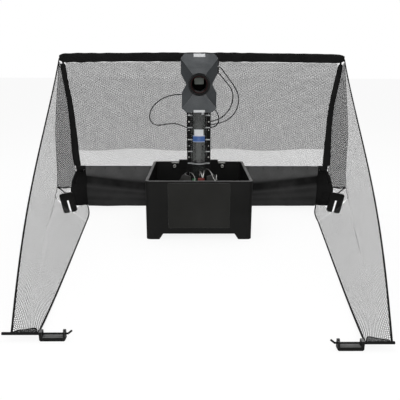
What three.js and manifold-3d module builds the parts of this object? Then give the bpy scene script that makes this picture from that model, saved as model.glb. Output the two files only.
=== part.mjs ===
// Table tennis robot with its ball-catching net, in millimetres, +Z up.
// The bucket's four feet and the two edge clips stand on z = 0, and the origin is under the middle
// of the whole outline. Two groups carry the pieces: the robot's group has its zero at the middle
// of the bucket, the net's group at the middle of the net. In both, +X is to the right and +Y to
// the back. Balls leave the head towards -Y.

import * as THREE from 'three';
import { mergeVertices } from 'three/addons/utils/BufferGeometryUtils.js';
import Module from 'manifold-3d';

const wasm = await Module();
wasm.setup();

// Driving dimensions

const gap = 0.3; // left between curved or turning faces that meet on the real object
const overrun = 2; // how far a cutter passes through the face that it cuts
const ballDiameter = 40;
const ballRoom = 2; // between a ball and the wall of its tube
const roundSides = 20;
const smallSides = 16;

const bucket = {
  width: 330, depth: 328, height: 187.2, wall: 9.5, corner: 12, footHeight: 18.4, footWidth: 41,
  footTaper: 12, slopeTop: 78, wellFloor: 32, wellHalf: 92, wellCorner: 30, shell: 4,
};
const frontPlate = { width: 191, bottom: 38, top: 182, thickness: 1.2, corner: 3 };

const rotor = {
  axisY: -50, radius: 70, bottom: 52, height: 18, pockets: 4, pocketOrbit: 52, pocketRadius: 22.5,
  hubRadius: 19, hubRise: 6, bore: 4, capRadius: 9, capHeight: 5,
};
const pickupBase = { radius: 84, thickness: 4, rampWidth: 14, rampRise: 13, rampTurn: 1.15, pinRise: 8 };
const guide = { inner: 74, wall: 4, halfTurn: 0.9 };
const feedPlate = { bottom: 84, thickness: 4, halfWidth: 84, halfDepth: 28, armHalf: 24, armReach: 28,
  legRadius: 5, legX: 78, legY: 8 };
const feedMotor = { radius: 20, top: 150, flange: 24, flangeHeight: 3, rounding: 3, shaftEnd: 66 };
const motorCover = { radius: 11, height: 20, x: 8, foot: 2.5 };
const motorBoard = { width: 12, height: 20, thickness: 1.6, x: -15 };
const cowl = { centreY: -22, bottom: 122, radius: 64, shoulder: 160, top: 180, topRadius: 47, wall: 3,
  slotHalf: 26 };

const tube = { outer: 25, bore: ballDiameter / 2 + ballRoom, top: 394.5 };
const tubeOverRails = 9.5; // the ball tube ends this much over the rails
const rail = { width: 13.7, depth: 18, wall: 2.5, top: tube.top - tubeOverRails, hole: 2, holePitch: 52,
  firstHole: 115, holeSides: 6 };
const collar = { count: 5, firstZ: 212, pitch: 39.5, height: 3, width: 3, earReach: 36.5, earDepth: 2.2,
  mouthHalfTurn: 0.98 };
const tubeLabel = { bottom: 286, split: 307, top: 327, thickness: 0.5, whiteHalfTurn: 0.62,
  blueHalfTurn: 0.86 };
const columnCap = { thickness: 4, radius: 44, halfDepth: 30, tongueHalf: 18, tongueReach: 64 };

const yoke = { ringOuter: 38, ringHeight: 6, cheekInner: 36, cheekThickness: 5, boss: 9, pin: 4,
  shoulder: 6.4, footHalf: 16, armHalf: 9.6 };
const gears = { module: 2, ringTeeth: 40, pinionTeeth: 10, width: 5, sector: 0.7, play: 0.4,
  rootShare: 0.34, tipShare: 0.11 };
const panMotor = { width: 30, depth: 24, height: 36, corner: 3, shaft: 3, hole: 5 };

const headRise = 78; // from the top of the ball tube to the middle of the ball's way out
const exitHeight = tube.top + headRise;
const tiltY = -40; // the head nods about this line
const elbow = { bend: 40, foot: 31, footHeight: 3, ball: 30, ballFront: -58, sides: 14 };
const cradle = { back: -38, ringFront: -60, outer: 34, nose: 27, noseFront: -73, groove: 25.2,
  grooveBack: -63, grooveFront: -65.6 };
const sleeve = { outer: 32, rib: 25.9 };

const head = {
  plateBack: -68, plateThickness: 3, plateEdge: 1.2, skirtFront: -112, front: -142, wall: 2.5,
  topHalf: 42.4, topRise: 87, shoulderHalf: 54.5, shoulderRise: 74, lobeRise: 30, waistHalf: 38.5,
  lobeDrop: 24, lowHalf: 52, lowDrop: 70, bottomHalf: 37.5, bottomDrop: 81,
  faceFootHalf: 20, faceFootRise: 31, faceWaistHalf: 15, faceEdge: 0.6,
};
const outlet = { outer: 30.5, bore: 24, reach: 10, back: -134 };
const wheel = { y: -97, rise: 51, radius: 33, width: 32, tyre: 5, crown: 1.5, rim: 4, web: 5, hub: 9,
  hubWidth: 22, axle: 2.6, axleFree: 4, axleInMotor: 12, sides: 16 };
const motor = { radius: 16.5, face: 21, end: 48, boss: 8, bossLength: 3, bore: 3, mountWall: 3,
  mountHalf: 18 };
const notch = { half: 17, topDepth: 10, bottomDepth: 8 };
const lug = { left: 8, right: 15, drop: 93 };
const ballStop = { halfWidth: 14.5, top: 24.5, bottom: -1, thickness: 1.6 };
const plug = { depth: 24, y: -87, width: 4.5, base: 1.5, rises: [[31, 51], [54, 74]] };

const cable = { radius: 1.6, sides: 8, spacing: 9.6 };
// Hand-chosen routes, in the robot's group, with heights from the ball tube's top: each runs from the
// head, or the pan motor, to a rail.
const cableRoutes = {
  cable_left: [[-52.6, -87, 46.5], [-58, -87, 46.5], [-66, -86, 46.5], [-80, -82, 45], [-97, -78, 41],
    [-111, -72, 34.5], [-125, -67, 26.5], [-136, -62, 17.5], [-146, -58, 6], [-153, -54, -6.5],
    [-157, -50, -20.5], [-157, -46, -33.5], [-150, -42, -45.5], [-139, -38, -51.5], [-125, -33, -53],
    [-111, -28, -51], [-97, -23, -48.5], [-83, -18, -48], [-70, -12, -50.5], [-60, -8, -54.5],
    [-51, -4, -59], [-44, -1, -62], [-39.6, 0, -63]],
  cable_right_outer: [[59.5, -87, 127.5], [64, -86.7, 126.1], [68, -85, 122], [76, -81, 112.5],
    [86, -77, 99.5], [97, -72, 86.5], [107, -67, 73.5], [115, -62, 61.5], [121, -57, 48.5],
    [124, -53, 36.5], [125, -49, 24.5], [123, -45, 10.5], [120, -41, -2.5], [114, -37, -13.5],
    [107, -32, -22.5], [99, -27, -31], [90, -22, -38], [79, -17, -43.5], [67, -12, -47.5],
    [55, -7, -50.5], [46, -3, -53], [39.6, -1, -54]],
  cable_right_inner: [[59.5, -87, 109.5], [63, -86.4, 107.1], [67, -84, 102], [75, -78, 92.5],
    [84, -70, 83], [93, -62, 73.5], [100, -55, 63.5], [105, -49, 52.5], [107, -43, 41.5],
    [107, -37, 29.5], [105, -31, 16.5], [101, -25, 3.5], [94, -19, -8.5], [86, -13, -19.5],
    [77, -7, -28.5], [67, -2, -35], [56, 1, -39.5], [47, 2, -42], [39.6, 3, -43.5]],
  cable_short: [[15.6, 50, -20.5], [24, 50, -18.5], [33, 47, -14.5], [41, 42, -10.5], [49, 36, -8.5],
    [56, 30, -10.5], [61, 25, -16.5], [64, 21, -24.5], [66, 17, -33.5], [66, 13, -42.5],
    [63, 10, -50.5], [57, 8, -57.5], [49, 6, -61.5], [39.6, 5, -63.5]],
};

const topRail = { halfWidth: 529, y: 266, bottom: 543, height: 34, thickness: 13, corner: 4.3, endTaper: 26,
  endHeight: 20, droop: 5 };
// How far each part of the net stops short of the rail's ends, or reaches past them.
const inward = { upright: 10, curtain: 21, fork: 47, crossbar: 63, trough: 93, wingFork: 3, wingFoot: 125 };
const outward = { flapTip: 17, wingMiddle: 19 };
// How far pieces lie below the bucket's rim, and how far others lie above the crossbar.
const underRim = { crossbar: 28.2, bracketEar: 15.2 };
const overCrossbar = { troughLip: 8, gatherTop: -13, rearNetFoot: -9, curtainFoot: 53 };
const crossbar = { y: 178.5, behindBucket: 14.5, z: bucket.height - underRim.crossbar, radius: 6,
  halfWidth: topRail.halfWidth - inward.crossbar };
const socket = { radius: 8, above: 20, below: 8 };
const bracket = { halfWidth: 71, plate: 4, rise: 6, innerDrop: 30, outerDrop: 22, clampX: 44, clampHalf: 14,
  clampWall: 4, earReach: 28, earHeight: 22 };
const ringBolt = { x: 88, outer: 6, hole: 2.6, height: 5 };
// Where an upright's rod and its sleeve start and end, as shares of its length.
const upright = { rod: 3.6, sleeveWide: 8, sleeveDeep: 6, start: 0.026, sleeveStart: 0.09, sleeveEnd: 0.945,
  topX: topRail.halfWidth - inward.upright, inRail: 12, bow: 12 };

const net = { thickness: 1.6, holeShare: 0.74, spread: 1.4 };
const rearNet = { across: 12, down: 4, bottomY: 214, bottomZ: crossbar.z + overCrossbar.rearNetFoot,
  sideHold: 6, footHold: 3 };
const curtain = { across: 11, down: 3, bottom: crossbar.z + overCrossbar.curtainFoot, wave: 4, waves: 3,
  halfWidth: topRail.halfWidth - inward.curtain, hang: 4 };
const flap = { across: 2, down: 4, tipX: topRail.halfWidth + outward.flapTip, tipY: 172, tipZ: 82,
  topShare: 0.9, footShare: 0.09, topWidth: 8 };
const wing = { along: 9, across: 4, floorGap: 4, backX: topRail.halfWidth - inward.wingFoot, backY: 0,
  midX: topRail.halfWidth + outward.wingMiddle, midY: 212, midZ: 300,
  forkX: topRail.halfWidth - inward.wingFork, forkY: 84, forkZ: 62, onRail: 10, rodEnd: 12, cordSag: 12,
  liftPower: 6 };
const trough = { halfWidth: topRail.halfWidth - inward.trough, rearY: 216,
  lipZ: crossbar.z + overCrossbar.troughLip, bottomZ: 4, wall: 2, stations: 16, bracketRoom: 4 };
const gather = { reach: 44, pleats: 6, pleatDepth: 3, rings: 5, points: 24,
  top: crossbar.z + overCrossbar.gatherTop, bottom: 10, smallShare: 0.42, endZ: 60 };
const fork = { width: 50, height: 74, thickness: 9, slot: 9, slotHeight: 46, corner: 8, tilt: 0.2,
  floor: 4, x: topRail.halfWidth - inward.fork, y: 98 };
const clip = { length: 51, barHeight: 8, barDepth: 12, boss: 6, lug: 4, height: 20, rodZ: 14, hole: 2.4,
  knob: 3.4, corner: 2.5 };
const wingRod = { radius: 3, thin: 2, tail: 10, tailTurn: 0.7 };
const sides = {
  left: { side: -1, clipX: 305.5, reach: 731, rod: 74, cordBow: 18 },
  right: { side: 1, clipX: 270.5, reach: 766, rod: 59, cordBow: 16 },
};

// Places worked out from the sizes above

const robotShiftX = -14; // the robot stands this far left of the net's middle
// The net hangs on the bucket's back.
const netShiftY = bucket.depth / 2 + crossbar.behindBucket - crossbar.y;
const backReach = netShiftY + topRail.y + topRail.thickness / 2;
const frontReach = sides.right.reach + clip.barDepth / 2 - netShiftY;
const originShiftY = (frontReach - backReach) / 2;
const halfBucketY = bucket.depth / 2;
const baseTop = bucket.wellFloor + pickupBase.thickness;
const plateTop = feedPlate.bottom + feedPlate.thickness;
const railInner = tube.outer + gap;
const railOuter = railInner + rail.width;
const railFront = -rail.depth / 2;
const capTop = rail.top + columnCap.thickness;
const yokeBottom = capTop + gap;
const yokeTop = yokeBottom + yoke.ringHeight;
const plateFront = head.plateBack - head.plateThickness;
const ringPitch = gears.module * gears.ringTeeth / 2;
const pinionPitch = gears.module * gears.pinionTeeth / 2;
// Its front lip rests on the crossbar.
const troughFront = crossbar.y - crossbar.radius - gap - trough.wall / 2;
const panMotorY = ringPitch + pinionPitch;

// Helpers

const vec = (x, y, z) => new THREE.Vector3(x, y, z);

// One closed body with its shared corners merged and its faces pointing out.
function closed(geometry) {
  const bare = geometry.clone();
  for (const name of Object.keys(bare.attributes)) {
    if (name !== 'position') bare.deleteAttribute(name);
  }
  const merged = mergeVertices(bare);
  const at = merged.attributes.position;
  const kept = [];
  let volume = 0;
  const [a, b, c] = [vec(0, 0, 0), vec(0, 0, 0), vec(0, 0, 0)];
  for (let i = 0; i < merged.index.count; i += 3) {
    const corner = [0, 1, 2].map((k) => merged.index.getX(i + k));
    if (new Set(corner).size < 3) continue;
    kept.push(corner);
    a.fromBufferAttribute(at, corner[0]);
    b.fromBufferAttribute(at, corner[1]);
    c.fromBufferAttribute(at, corner[2]);
    volume += a.dot(b.cross(c));
  }
  const order = volume < 0 ? kept.map(([p, q, r]) => [p, r, q]) : kept;
  merged.setIndex(order.flat());
  merged.computeVertexNormals();
  return merged;
}

function toManifold(geometry) {
  const merged = closed(geometry);
  return new wasm.Manifold(new wasm.Mesh({
    numProp: 3,
    vertProperties: new Float32Array(merged.attributes.position.array),
    triVerts: new Uint32Array(merged.index.array),
  }));
}

function fromManifold(solid) {
  const mesh = solid.getMesh();
  const geometry = new THREE.BufferGeometry();
  geometry.setAttribute('position', new THREE.BufferAttribute(mesh.vertProperties, mesh.numProp));
  geometry.setIndex(new THREE.BufferAttribute(mesh.triVerts, 1));
  return geometry;
}

// The first geometry with the others joined on or cut away.
function join(first, ...others) {
  return fromManifold(others.reduce((sum, next) => sum.add(toManifold(next)), toManifold(first)));
}

function cut(first, ...others) {
  return fromManifold(others.reduce((rest, next) => rest.subtract(toManifold(next)), toManifold(first)));
}

function common(first, second) {
  return fromManifold(toManifold(first).intersect(toManifold(second)));
}

function box(x0, x1, y0, y1, z0, z1) {
  const geometry = new THREE.BoxGeometry(x1 - x0, y1 - y0, z1 - z0);
  return geometry.translate((x0 + x1) / 2, (y0 + y1) / 2, (z0 + z1) / 2);
}

// A round bar between two points.
function bar(from, to, radius, count = smallSides) {
  const along = to.clone().sub(from);
  const geometry = new THREE.CylinderGeometry(radius, radius, along.length(), count);
  geometry.applyQuaternion(new THREE.Quaternion().setFromUnitVectors(vec(0, 1, 0), along.normalize()));
  return geometry.translate((from.x + to.x) / 2, (from.y + to.y) / 2, (from.z + to.z) / 2);
}

const barZ = (x, y, z0, z1, radius, count) => bar(vec(x, y, z0), vec(x, y, z1), radius, count);
const barY = (x, z, y0, y1, radius, count) => bar(vec(x, y0, z), vec(x, y1, z), radius, count);
const barX = (y, z, x0, x1, radius, count) => bar(vec(x0, y, z), vec(x1, y, z), radius, count);

// A turned body from [radius, place] pairs, along one axis.
function turned(profile, axis, count = roundSides) {
  const geometry = new THREE.LatheGeometry(profile.map(([r, h]) => new THREE.Vector2(r, h)), count);
  if (axis === 'z') geometry.rotateX(Math.PI / 2);
  if (axis === 'x') geometry.rotateZ(-Math.PI / 2);
  return geometry;
}

const ring = (inner, outer, h0, h1) => [[inner, h0], [outer, h0], [outer, h1], [inner, h1], [inner, h0]];

// A flat outline of [a, b] points pushed along an axis, the outline lying in the other two.
function prism(outline, axis, from, to) {
  const corners = (points) => points.map(([a, b]) => new THREE.Vector2(a, b));
  const shape = outline instanceof THREE.Shape ? outline : new THREE.Shape(corners(outline));
  const geometry = new THREE.ExtrudeGeometry(shape,
    { depth: to - from, bevelEnabled: false, curveSegments: 6 });
  geometry.translate(0, 0, from);
  if (axis === 'y') {
    geometry.applyMatrix4(new THREE.Matrix4().set(1, 0, 0, 0, 0, 0, 1, 0, 0, 1, 0, 0, 0, 0, 0, 1));
  }
  if (axis === 'x') {
    geometry.applyMatrix4(new THREE.Matrix4().set(0, 0, 1, 0, 1, 0, 0, 0, 0, 1, 0, 0, 0, 0, 0, 1));
  }
  return geometry;
}

// A rounded rectangle as a list of [a, b] points, the same number for every size.
function roundedRectangle(halfA, halfB, radius, middleA = 0, middleB = 0, steps = 4) {
  const points = [];
  for (let corner = 0; corner < 4; corner += 1) {
    const signA = corner === 0 || corner === 3 ? 1 : -1;
    const signB = corner < 2 ? 1 : -1;
    for (let i = 0; i <= steps; i += 1) {
      const turn = (corner + i / steps) * Math.PI / 2;
      points.push([
        middleA + signA * (halfA - radius) + radius * Math.cos(turn),
        middleB + signB * (halfB - radius) + radius * Math.sin(turn),
      ]);
    }
  }
  return points;
}

// A closed body through rings of equally many points, with flat ends.
function loft(rings) {
  const count = rings[0].length;
  const positions = rings.flat();
  const index = [];
  for (let r = 0; r + 1 < rings.length; r += 1) {
    for (let i = 0; i < count; i += 1) {
      const a = r * count + i;
      const b = r * count + (i + 1) % count;
      index.push(a, b, b + count, a, b + count, a + count);
    }
  }
  for (const [start, flip] of [[0, true], [(rings.length - 1) * count, false]]) {
    const outline = rings[start / count];
    const normal = vec(0, 0, 0);
    outline.forEach((p, i) => normal.add(p.clone().cross(outline[(i + 1) % count])));
    const turn = new THREE.Quaternion().setFromUnitVectors(normal.normalize(), vec(0, 0, 1));
    const flat = outline.map((p) => p.clone().applyQuaternion(turn))
      .map((p) => new THREE.Vector2(p.x, p.y));
    for (const face of THREE.ShapeUtils.triangulateShape(flat, [])) {
      const [a, b, c] = face.map((k) => flat[k]);
      const sameWay = (b.x - a.x) * (c.y - a.y) - (b.y - a.y) * (c.x - a.x) > 0;
      const corners = sameWay === flip ? [face[0], face[2], face[1]] : face;
      index.push(...corners.map((k) => start + k));
    }
  }
  const geometry = new THREE.BufferGeometry();
  geometry.setAttribute('position',
    new THREE.Float32BufferAttribute(positions.flatMap((p) => p.toArray()), 3));
  geometry.setIndex(index);
  return geometry;
}

// A thin sheet over a grid of cells, with a hole in each cell where holeShare is not zero.
function sheet(place, across, down, thickness, holeShare = 0) {
  const step = 1e-3;
  const points = [];
  const put = (u, v) => {
    const du = place(Math.min(u + step, 1), v).sub(place(Math.max(u - step, 0), v));
    const dv = place(u, Math.min(v + step, 1)).sub(place(u, Math.max(v - step, 0)));
    const lift = du.cross(dv).setLength(thickness / 2);
    const middle = place(u, v);
    points.push(middle.clone().add(lift), middle.clone().sub(lift));
    return points.length - 2;
  };
  const index = [];
  const quad = (a, b, c, d) => index.push(a, b, c, a, c, d);
  const node = [];
  for (let i = 0; i <= across; i += 1) {
    node.push([]);
    for (let j = 0; j <= down; j += 1) node[i].push(put(i / across, j / down));
  }
  for (let i = 0; i < across; i += 1) {
    for (let j = 0; j < down; j += 1) {
      const outer = [node[i][j], node[i + 1][j], node[i + 1][j + 1], node[i][j + 1]];
      if (holeShare === 0) {
        quad(...outer);
        quad(outer[3] + 1, outer[2] + 1, outer[1] + 1, outer[0] + 1);
      } else {
        const near = (1 - holeShare) / 2;
        const far = (1 + holeShare) / 2;
        const inner = [[near, near], [far, near], [far, far], [near, far]]
          .map(([s, t]) => put((i + s) / across, (j + t) / down));
        for (let k = 0; k < 4; k += 1) {
          const next = (k + 1) % 4;
          quad(outer[k], outer[next], inner[next], inner[k]);
          quad(inner[k] + 1, inner[next] + 1, outer[next] + 1, outer[k] + 1);
          quad(inner[k], inner[next], inner[next] + 1, inner[k] + 1);
        }
      }
    }
  }
  for (let i = 0; i < across; i += 1) {
    quad(node[i + 1][0], node[i][0], node[i][0] + 1, node[i + 1][0] + 1);
    quad(node[i][down], node[i + 1][down], node[i + 1][down] + 1, node[i][down] + 1);
  }
  for (let j = 0; j < down; j += 1) {
    quad(node[0][j], node[0][j + 1], node[0][j + 1] + 1, node[0][j] + 1);
    quad(node[across][j + 1], node[across][j], node[across][j] + 1, node[across][j + 1] + 1);
  }
  const geometry = new THREE.BufferGeometry();
  geometry.setAttribute('position',
    new THREE.Float32BufferAttribute(points.flatMap((p) => p.toArray()), 3));
  geometry.setIndex(index);
  return geometry;
}

// A flat section swept along a smooth curve.
function swept(curve, section, steps) {
  const shape = new THREE.Shape(section.map(([a, b]) => new THREE.Vector2(a, b)));
  return new THREE.ExtrudeGeometry(shape, { steps, bevelEnabled: false, extrudePath: curve });
}

function roundSection(radius, count, flatShare = 1) {
  const points = [];
  for (let i = 0; i < count; i += 1) {
    const turn = i / count * 2 * Math.PI;
    points.push([radius * Math.cos(turn), radius * flatShare * Math.sin(turn)]);
  }
  return points;
}

// Materials

const finish = (color, roughness, metalness, extra) =>
  new THREE.MeshStandardMaterial({ color, roughness, metalness, ...extra });
const finishes = {
  blackPlastic: finish(0x1c1c1b, 0.55, 0),
  platePlastic: finish(0x2a2a28, 0.5, 0),
  rotorPlastic: finish(0x30302e, 0.45, 0),
  redPlastic: finish(0x8a2f2f, 0.5, 0),
  blackMetal: finish(0x171717, 0.4, 0.6),
  steel: finish(0xb9b9b6, 0.35, 0.9),
  clearPlastic: finish(0xc8ccca, 0.1, 0, { transparent: true, opacity: 0.35 }),
  label: finish(0xe8e8e8, 0.6, 0),
  shell: finish(0x50555a, 0.45, 0.2),
  lightPlate: finish(0xbdbdbd, 0.4, 0.4),
  tyre: finish(0xbebebc, 0.8, 0),
  rubber: finish(0x161616, 0.8, 0),
  cable: finish(0x121212, 0.7, 0),
  blackFabric: finish(0x161616, 0.9, 0),
  greyFabric: finish(0x3c3c3b, 0.9, 0),
  netting: finish(0x4a4a4a, 0.9, 0),
};

const robotGroup = new THREE.Group();
robotGroup.position.set(robotShiftX, originShiftY, 0);
const netGroup = new THREE.Group();
netGroup.position.set(0, originShiftY + netShiftY, 0);

function add(group, name, geometry, material) {
  const mesh = new THREE.Mesh(closed(geometry), material);
  mesh.name = name;
  group.add(mesh);
  return mesh;
}

// Bucket: a square tub on four corner feet, with a hopper floor that slopes to the pick-up well.

function levelRing(points, z) {
  return points.map(([a, b]) => vec(a, b, z));
}

function bucketGeometry() {
  const halfX = bucket.width / 2;
  const outer = prism(roundedRectangle(halfX, halfBucketY, bucket.corner), 'z', 0, bucket.height);
  const innerCorner = bucket.corner - bucket.wall / 2;
  const inner = roundedRectangle(halfX - bucket.wall, halfBucketY - bucket.wall, innerCorner);
  const well = (grow) => roundedRectangle(bucket.wellHalf + grow, bucket.wellHalf + grow,
    bucket.wellCorner, 0, rotor.axisY);
  const hopper = loft([
    levelRing(inner, bucket.height + overrun), levelRing(inner, bucket.slopeTop),
      levelRing(well(0), bucket.wellFloor),
  ]);
  const underTop = bucket.slopeTop - bucket.shell;
  const underFloor = prism(inner, 'z', -overrun, underTop);
  const hopperBack = loft([levelRing(inner, underTop),
    levelRing(well(bucket.shell), bucket.wellFloor - bucket.shell)]);
  const notchOutline = (half) => [
    [-(half - bucket.footWidth), -overrun], [half - bucket.footWidth, -overrun],
    [half - bucket.footWidth, 0], [half - bucket.footWidth - bucket.footTaper, bucket.footHeight],
    [-(half - bucket.footWidth - bucket.footTaper), bucket.footHeight], [-(half - bucket.footWidth), 0],
  ];
  const acrossFront = prism(notchOutline(halfX), 'y', -halfBucketY - overrun, halfBucketY + overrun);
  const acrossSide = prism(notchOutline(halfBucketY), 'x', -halfX - overrun, halfX + overrun);
  return cut(outer, hopper, cut(underFloor, hopperBack), acrossFront, acrossSide);
}

function frontPlateGeometry() {
  const middle = (frontPlate.bottom + frontPlate.top) / 2;
  const halfHeight = (frontPlate.top - frontPlate.bottom) / 2;
  const outline = roundedRectangle(frontPlate.width / 2, halfHeight, frontPlate.corner, 0, middle);
  return prism(outline, 'y', -halfBucketY - frontPlate.thickness, -halfBucketY);
}

// Ball pick-up: a star rotor turns on a base plate, and a ramp lifts each ball into the tube.

function ramp() {
  const rings = [];
  const steps = 8;
  for (let i = 0; i <= steps; i += 1) {
    const turn = Math.PI / 2 - pickupBase.rampTurn * (1 - i / steps);
    const high = baseTop + pickupBase.rampRise * (i / steps) ** 1.5;
    const at = (r, z) => vec(r * Math.cos(turn), rotor.axisY + r * Math.sin(turn), z);
    const near = rotor.pocketOrbit - pickupBase.rampWidth / 2;
    const far = rotor.pocketOrbit + pickupBase.rampWidth / 2;
    const low = bucket.wellFloor + pickupBase.thickness / 2;
    rings.push([at(near, low), at(far, low), at(far, high), at(near, high)]);
  }
  return loft(rings);
}

function pickupBaseGeometry() {
  const disc = barZ(0, rotor.axisY, bucket.wellFloor, baseTop, pickupBase.radius, roundSides);
  const pin = barZ(0, rotor.axisY, bucket.wellFloor, rotor.bottom + pickupBase.pinRise, rotor.bore - gap);
  const outer = guide.inner + guide.wall;
  const wall = [];
  const steps = 10;
  for (let i = 0; i <= steps; i += 1) {
    const turn = Math.PI / 2 + guide.halfTurn * (2 * i / steps - 1);
    wall.push([outer * Math.cos(turn), rotor.axisY + outer * Math.sin(turn)]);
  }
  for (let i = steps; i >= 0; i -= 1) {
    const turn = Math.PI / 2 + guide.halfTurn * (2 * i / steps - 1);
    wall.push([guide.inner * Math.cos(turn), rotor.axisY + guide.inner * Math.sin(turn)]);
  }
  return join(disc, pin, prism(wall, 'z', bucket.wellFloor, feedPlate.bottom), ramp());
}

function rotorGeometry() {
  const top = rotor.bottom + rotor.height;
  const disc = barZ(0, rotor.axisY, rotor.bottom, top, rotor.radius, roundSides);
  const hub = barZ(0, rotor.axisY, rotor.bottom, top + rotor.hubRise, rotor.hubRadius, smallSides);
  const cuts = [barZ(0, rotor.axisY, rotor.bottom - overrun, top + rotor.hubRise + overrun, rotor.bore)];
  for (let i = 0; i < rotor.pockets; i += 1) {
    const turn = Math.PI / 2 + i / rotor.pockets * 2 * Math.PI;
    const x = rotor.pocketOrbit * Math.cos(turn);
    const y = rotor.axisY + rotor.pocketOrbit * Math.sin(turn);
    cuts.push(barZ(x, y, rotor.bottom - overrun, top + overrun, rotor.pocketRadius, smallSides));
  }
  return cut(join(disc, hub), ...cuts);
}

function rotorCapGeometry() {
  const low = rotor.bottom + rotor.height + rotor.hubRise;
  return turned(ring(rotor.bore, rotor.capRadius, low, low + rotor.capHeight), 'z', smallSides)
    .translate(0, rotor.axisY, 0);
}

function feedPlateGeometry() {
  const low = feedPlate.bottom;
  const cross = box(-feedPlate.halfWidth, feedPlate.halfWidth, -feedPlate.halfDepth,
    feedPlate.halfDepth, low, plateTop);
  const armEnd = rotor.axisY - feedPlate.armReach;
  const arm = box(-feedPlate.armHalf, feedPlate.armHalf, armEnd, 0, low, plateTop);
  const legs = [-1, 1].map((side) =>
    barZ(side * feedPlate.legX, feedPlate.legY, bucket.wellFloor, low + feedPlate.thickness / 2,
      feedPlate.legRadius));
  const ballHole = barZ(0, 0, low - overrun, plateTop + overrun, tube.bore, roundSides);
  const shaftHole = barZ(0, rotor.axisY, low - overrun, plateTop + overrun, rotor.bore + 2 * gap);
  return cut(join(cross, arm, ...legs), ballHole, shaftHole);
}

function feedMotorGeometry() {
  const shaft = rotor.bore - gap;
  const can = feedMotor.radius;
  const shoulder = plateTop + feedMotor.flangeHeight;
  return turned([
    [0, feedMotor.shaftEnd], [shaft, feedMotor.shaftEnd], [shaft, plateTop], [feedMotor.flange, plateTop],
    [feedMotor.flange, shoulder], [can, shoulder], [can, feedMotor.top - feedMotor.rounding],
    [can - feedMotor.rounding, feedMotor.top], [0, feedMotor.top],
  ], 'z', smallSides).translate(0, rotor.axisY, 0);
}

// The motor's round terminal cover, with its small wiring board beside it on one foot.
function motorCoverGeometry() {
  const low = feedMotor.top;
  const cover = barZ(motorCover.x, rotor.axisY, low, low + motorCover.height, motorCover.radius);
  const half = motorBoard.width / 2;
  const boardBack = rotor.axisY - motorBoard.thickness;
  const board = box(motorBoard.x - half, motorBoard.x + half, boardBack, rotor.axisY, low, low +
    motorBoard.height);
  const foot = box(motorBoard.x, motorCover.x, rotor.axisY - motorCover.foot, rotor.axisY +
    motorCover.foot, low, low + motorCover.foot);
  return join(cover, board, foot);
}

function cowlGeometry() {
  const { radius, shoulder, top, topRadius, wall, bottom } = cowl;
  const middleRadius = (radius + topRadius) / 2 + wall;
  const middle = (shoulder + top) / 2;
  const shell = turned([
    [radius - wall, bottom], [radius, bottom], [radius, shoulder], [middleRadius, middle], [topRadius, top],
    [topRadius - wall, top], [middleRadius - wall, middle - wall], [radius - wall, shoulder],
    [radius - wall, bottom], ], 'z').translate(0, cowl.centreY, 0);
  const reach = radius + overrun;
  const slot = box(-cowl.slotHalf, cowl.slotHalf, cowl.centreY - reach, cowl.centreY, bottom - overrun,
    top + overrun);
  const throat = barZ(0, 0, bottom - overrun, top + overrun, tube.outer + gap, roundSides);
  const railCut = box(-railOuter - gap, railOuter + gap, railFront - gap, -railFront + gap,
    bottom - overrun, top + overrun);
  return cut(shell, slot, throat, railCut);
}

// Column: two channel rails carry the clear ball tube in a row of collars.

const collarZ = (i) => collar.firstZ + i * collar.pitch;
const collarOuter = railInner + collar.width;

function railGeometry(side) {
  const middle = side * (railInner + railOuter) / 2;
  const half = rail.width / 2;
  const web = box(middle - half, middle + half, railFront, -railFront, plateTop, rail.top);
  const inside = box(middle - half + rail.wall, middle + half - rail.wall, railFront + rail.wall,
    -railFront + overrun, plateTop - overrun, rail.top + overrun);
  const cuts = [inside];
  for (let i = 0; i < collar.count; i += 1) {
    const low = collarZ(i) - gap;
    cuts.push(barZ(0, 0, low, collarZ(i) + collar.height + gap, collarOuter + gap, roundSides));
  }
  for (let z = rail.firstHole; z < rail.top; z += rail.holePitch) {
    cuts.push(barY(middle, z, railFront - overrun, railFront + rail.wall + overrun, rail.hole,
      rail.holeSides));
  }
  return cut(web, ...cuts);
}

// The lowest collar is a whole ring, the others are clips with an open mouth at the front.
function collarGeometry(whole) {
  const hoop = turned(ring(railInner, collarOuter, 0, collar.height), 'z');
  const reach = 2 * collarOuter;
  const mouth = prism([
    [0, 0], [-reach * Math.tan(collar.mouthHalfTurn), -reach],
    [reach * Math.tan(collar.mouthHalfTurn), -reach], ], 'z', -overrun, collar.height + overrun);
  const band = whole ? hoop : cut(hoop, mouth);
  const back = railFront - gap;
  const ears = [-1, 1].map((side) => {
    const span = [side * tube.outer, side * collar.earReach].sort((a, b) => a - b);
    return box(...span, back - collar.earDepth, back, 0, collar.height);
  });
  return join(band, ...ears);
}

function labelGeometry() {
  const patch = (halfTurn, low, high) => {
    const inner = tube.outer + gap;
    const points = [];
    const steps = 8;
    for (let i = 0; i <= steps; i += 1) points.push([inner + tubeLabel.thickness, halfTurn *
      (2 * i / steps - 1)]);
    for (let i = steps; i >= 0; i -= 1) points.push([inner, halfTurn * (2 * i / steps - 1)]);
    return prism(points.map(([r, turn]) => [r * Math.sin(turn), -r * Math.cos(turn)]), 'z', low, high);
  };
  return join(patch(tubeLabel.blueHalfTurn, tubeLabel.bottom, tubeLabel.split),
    patch(tubeLabel.whiteHalfTurn, tubeLabel.split, tubeLabel.top));
}

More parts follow.
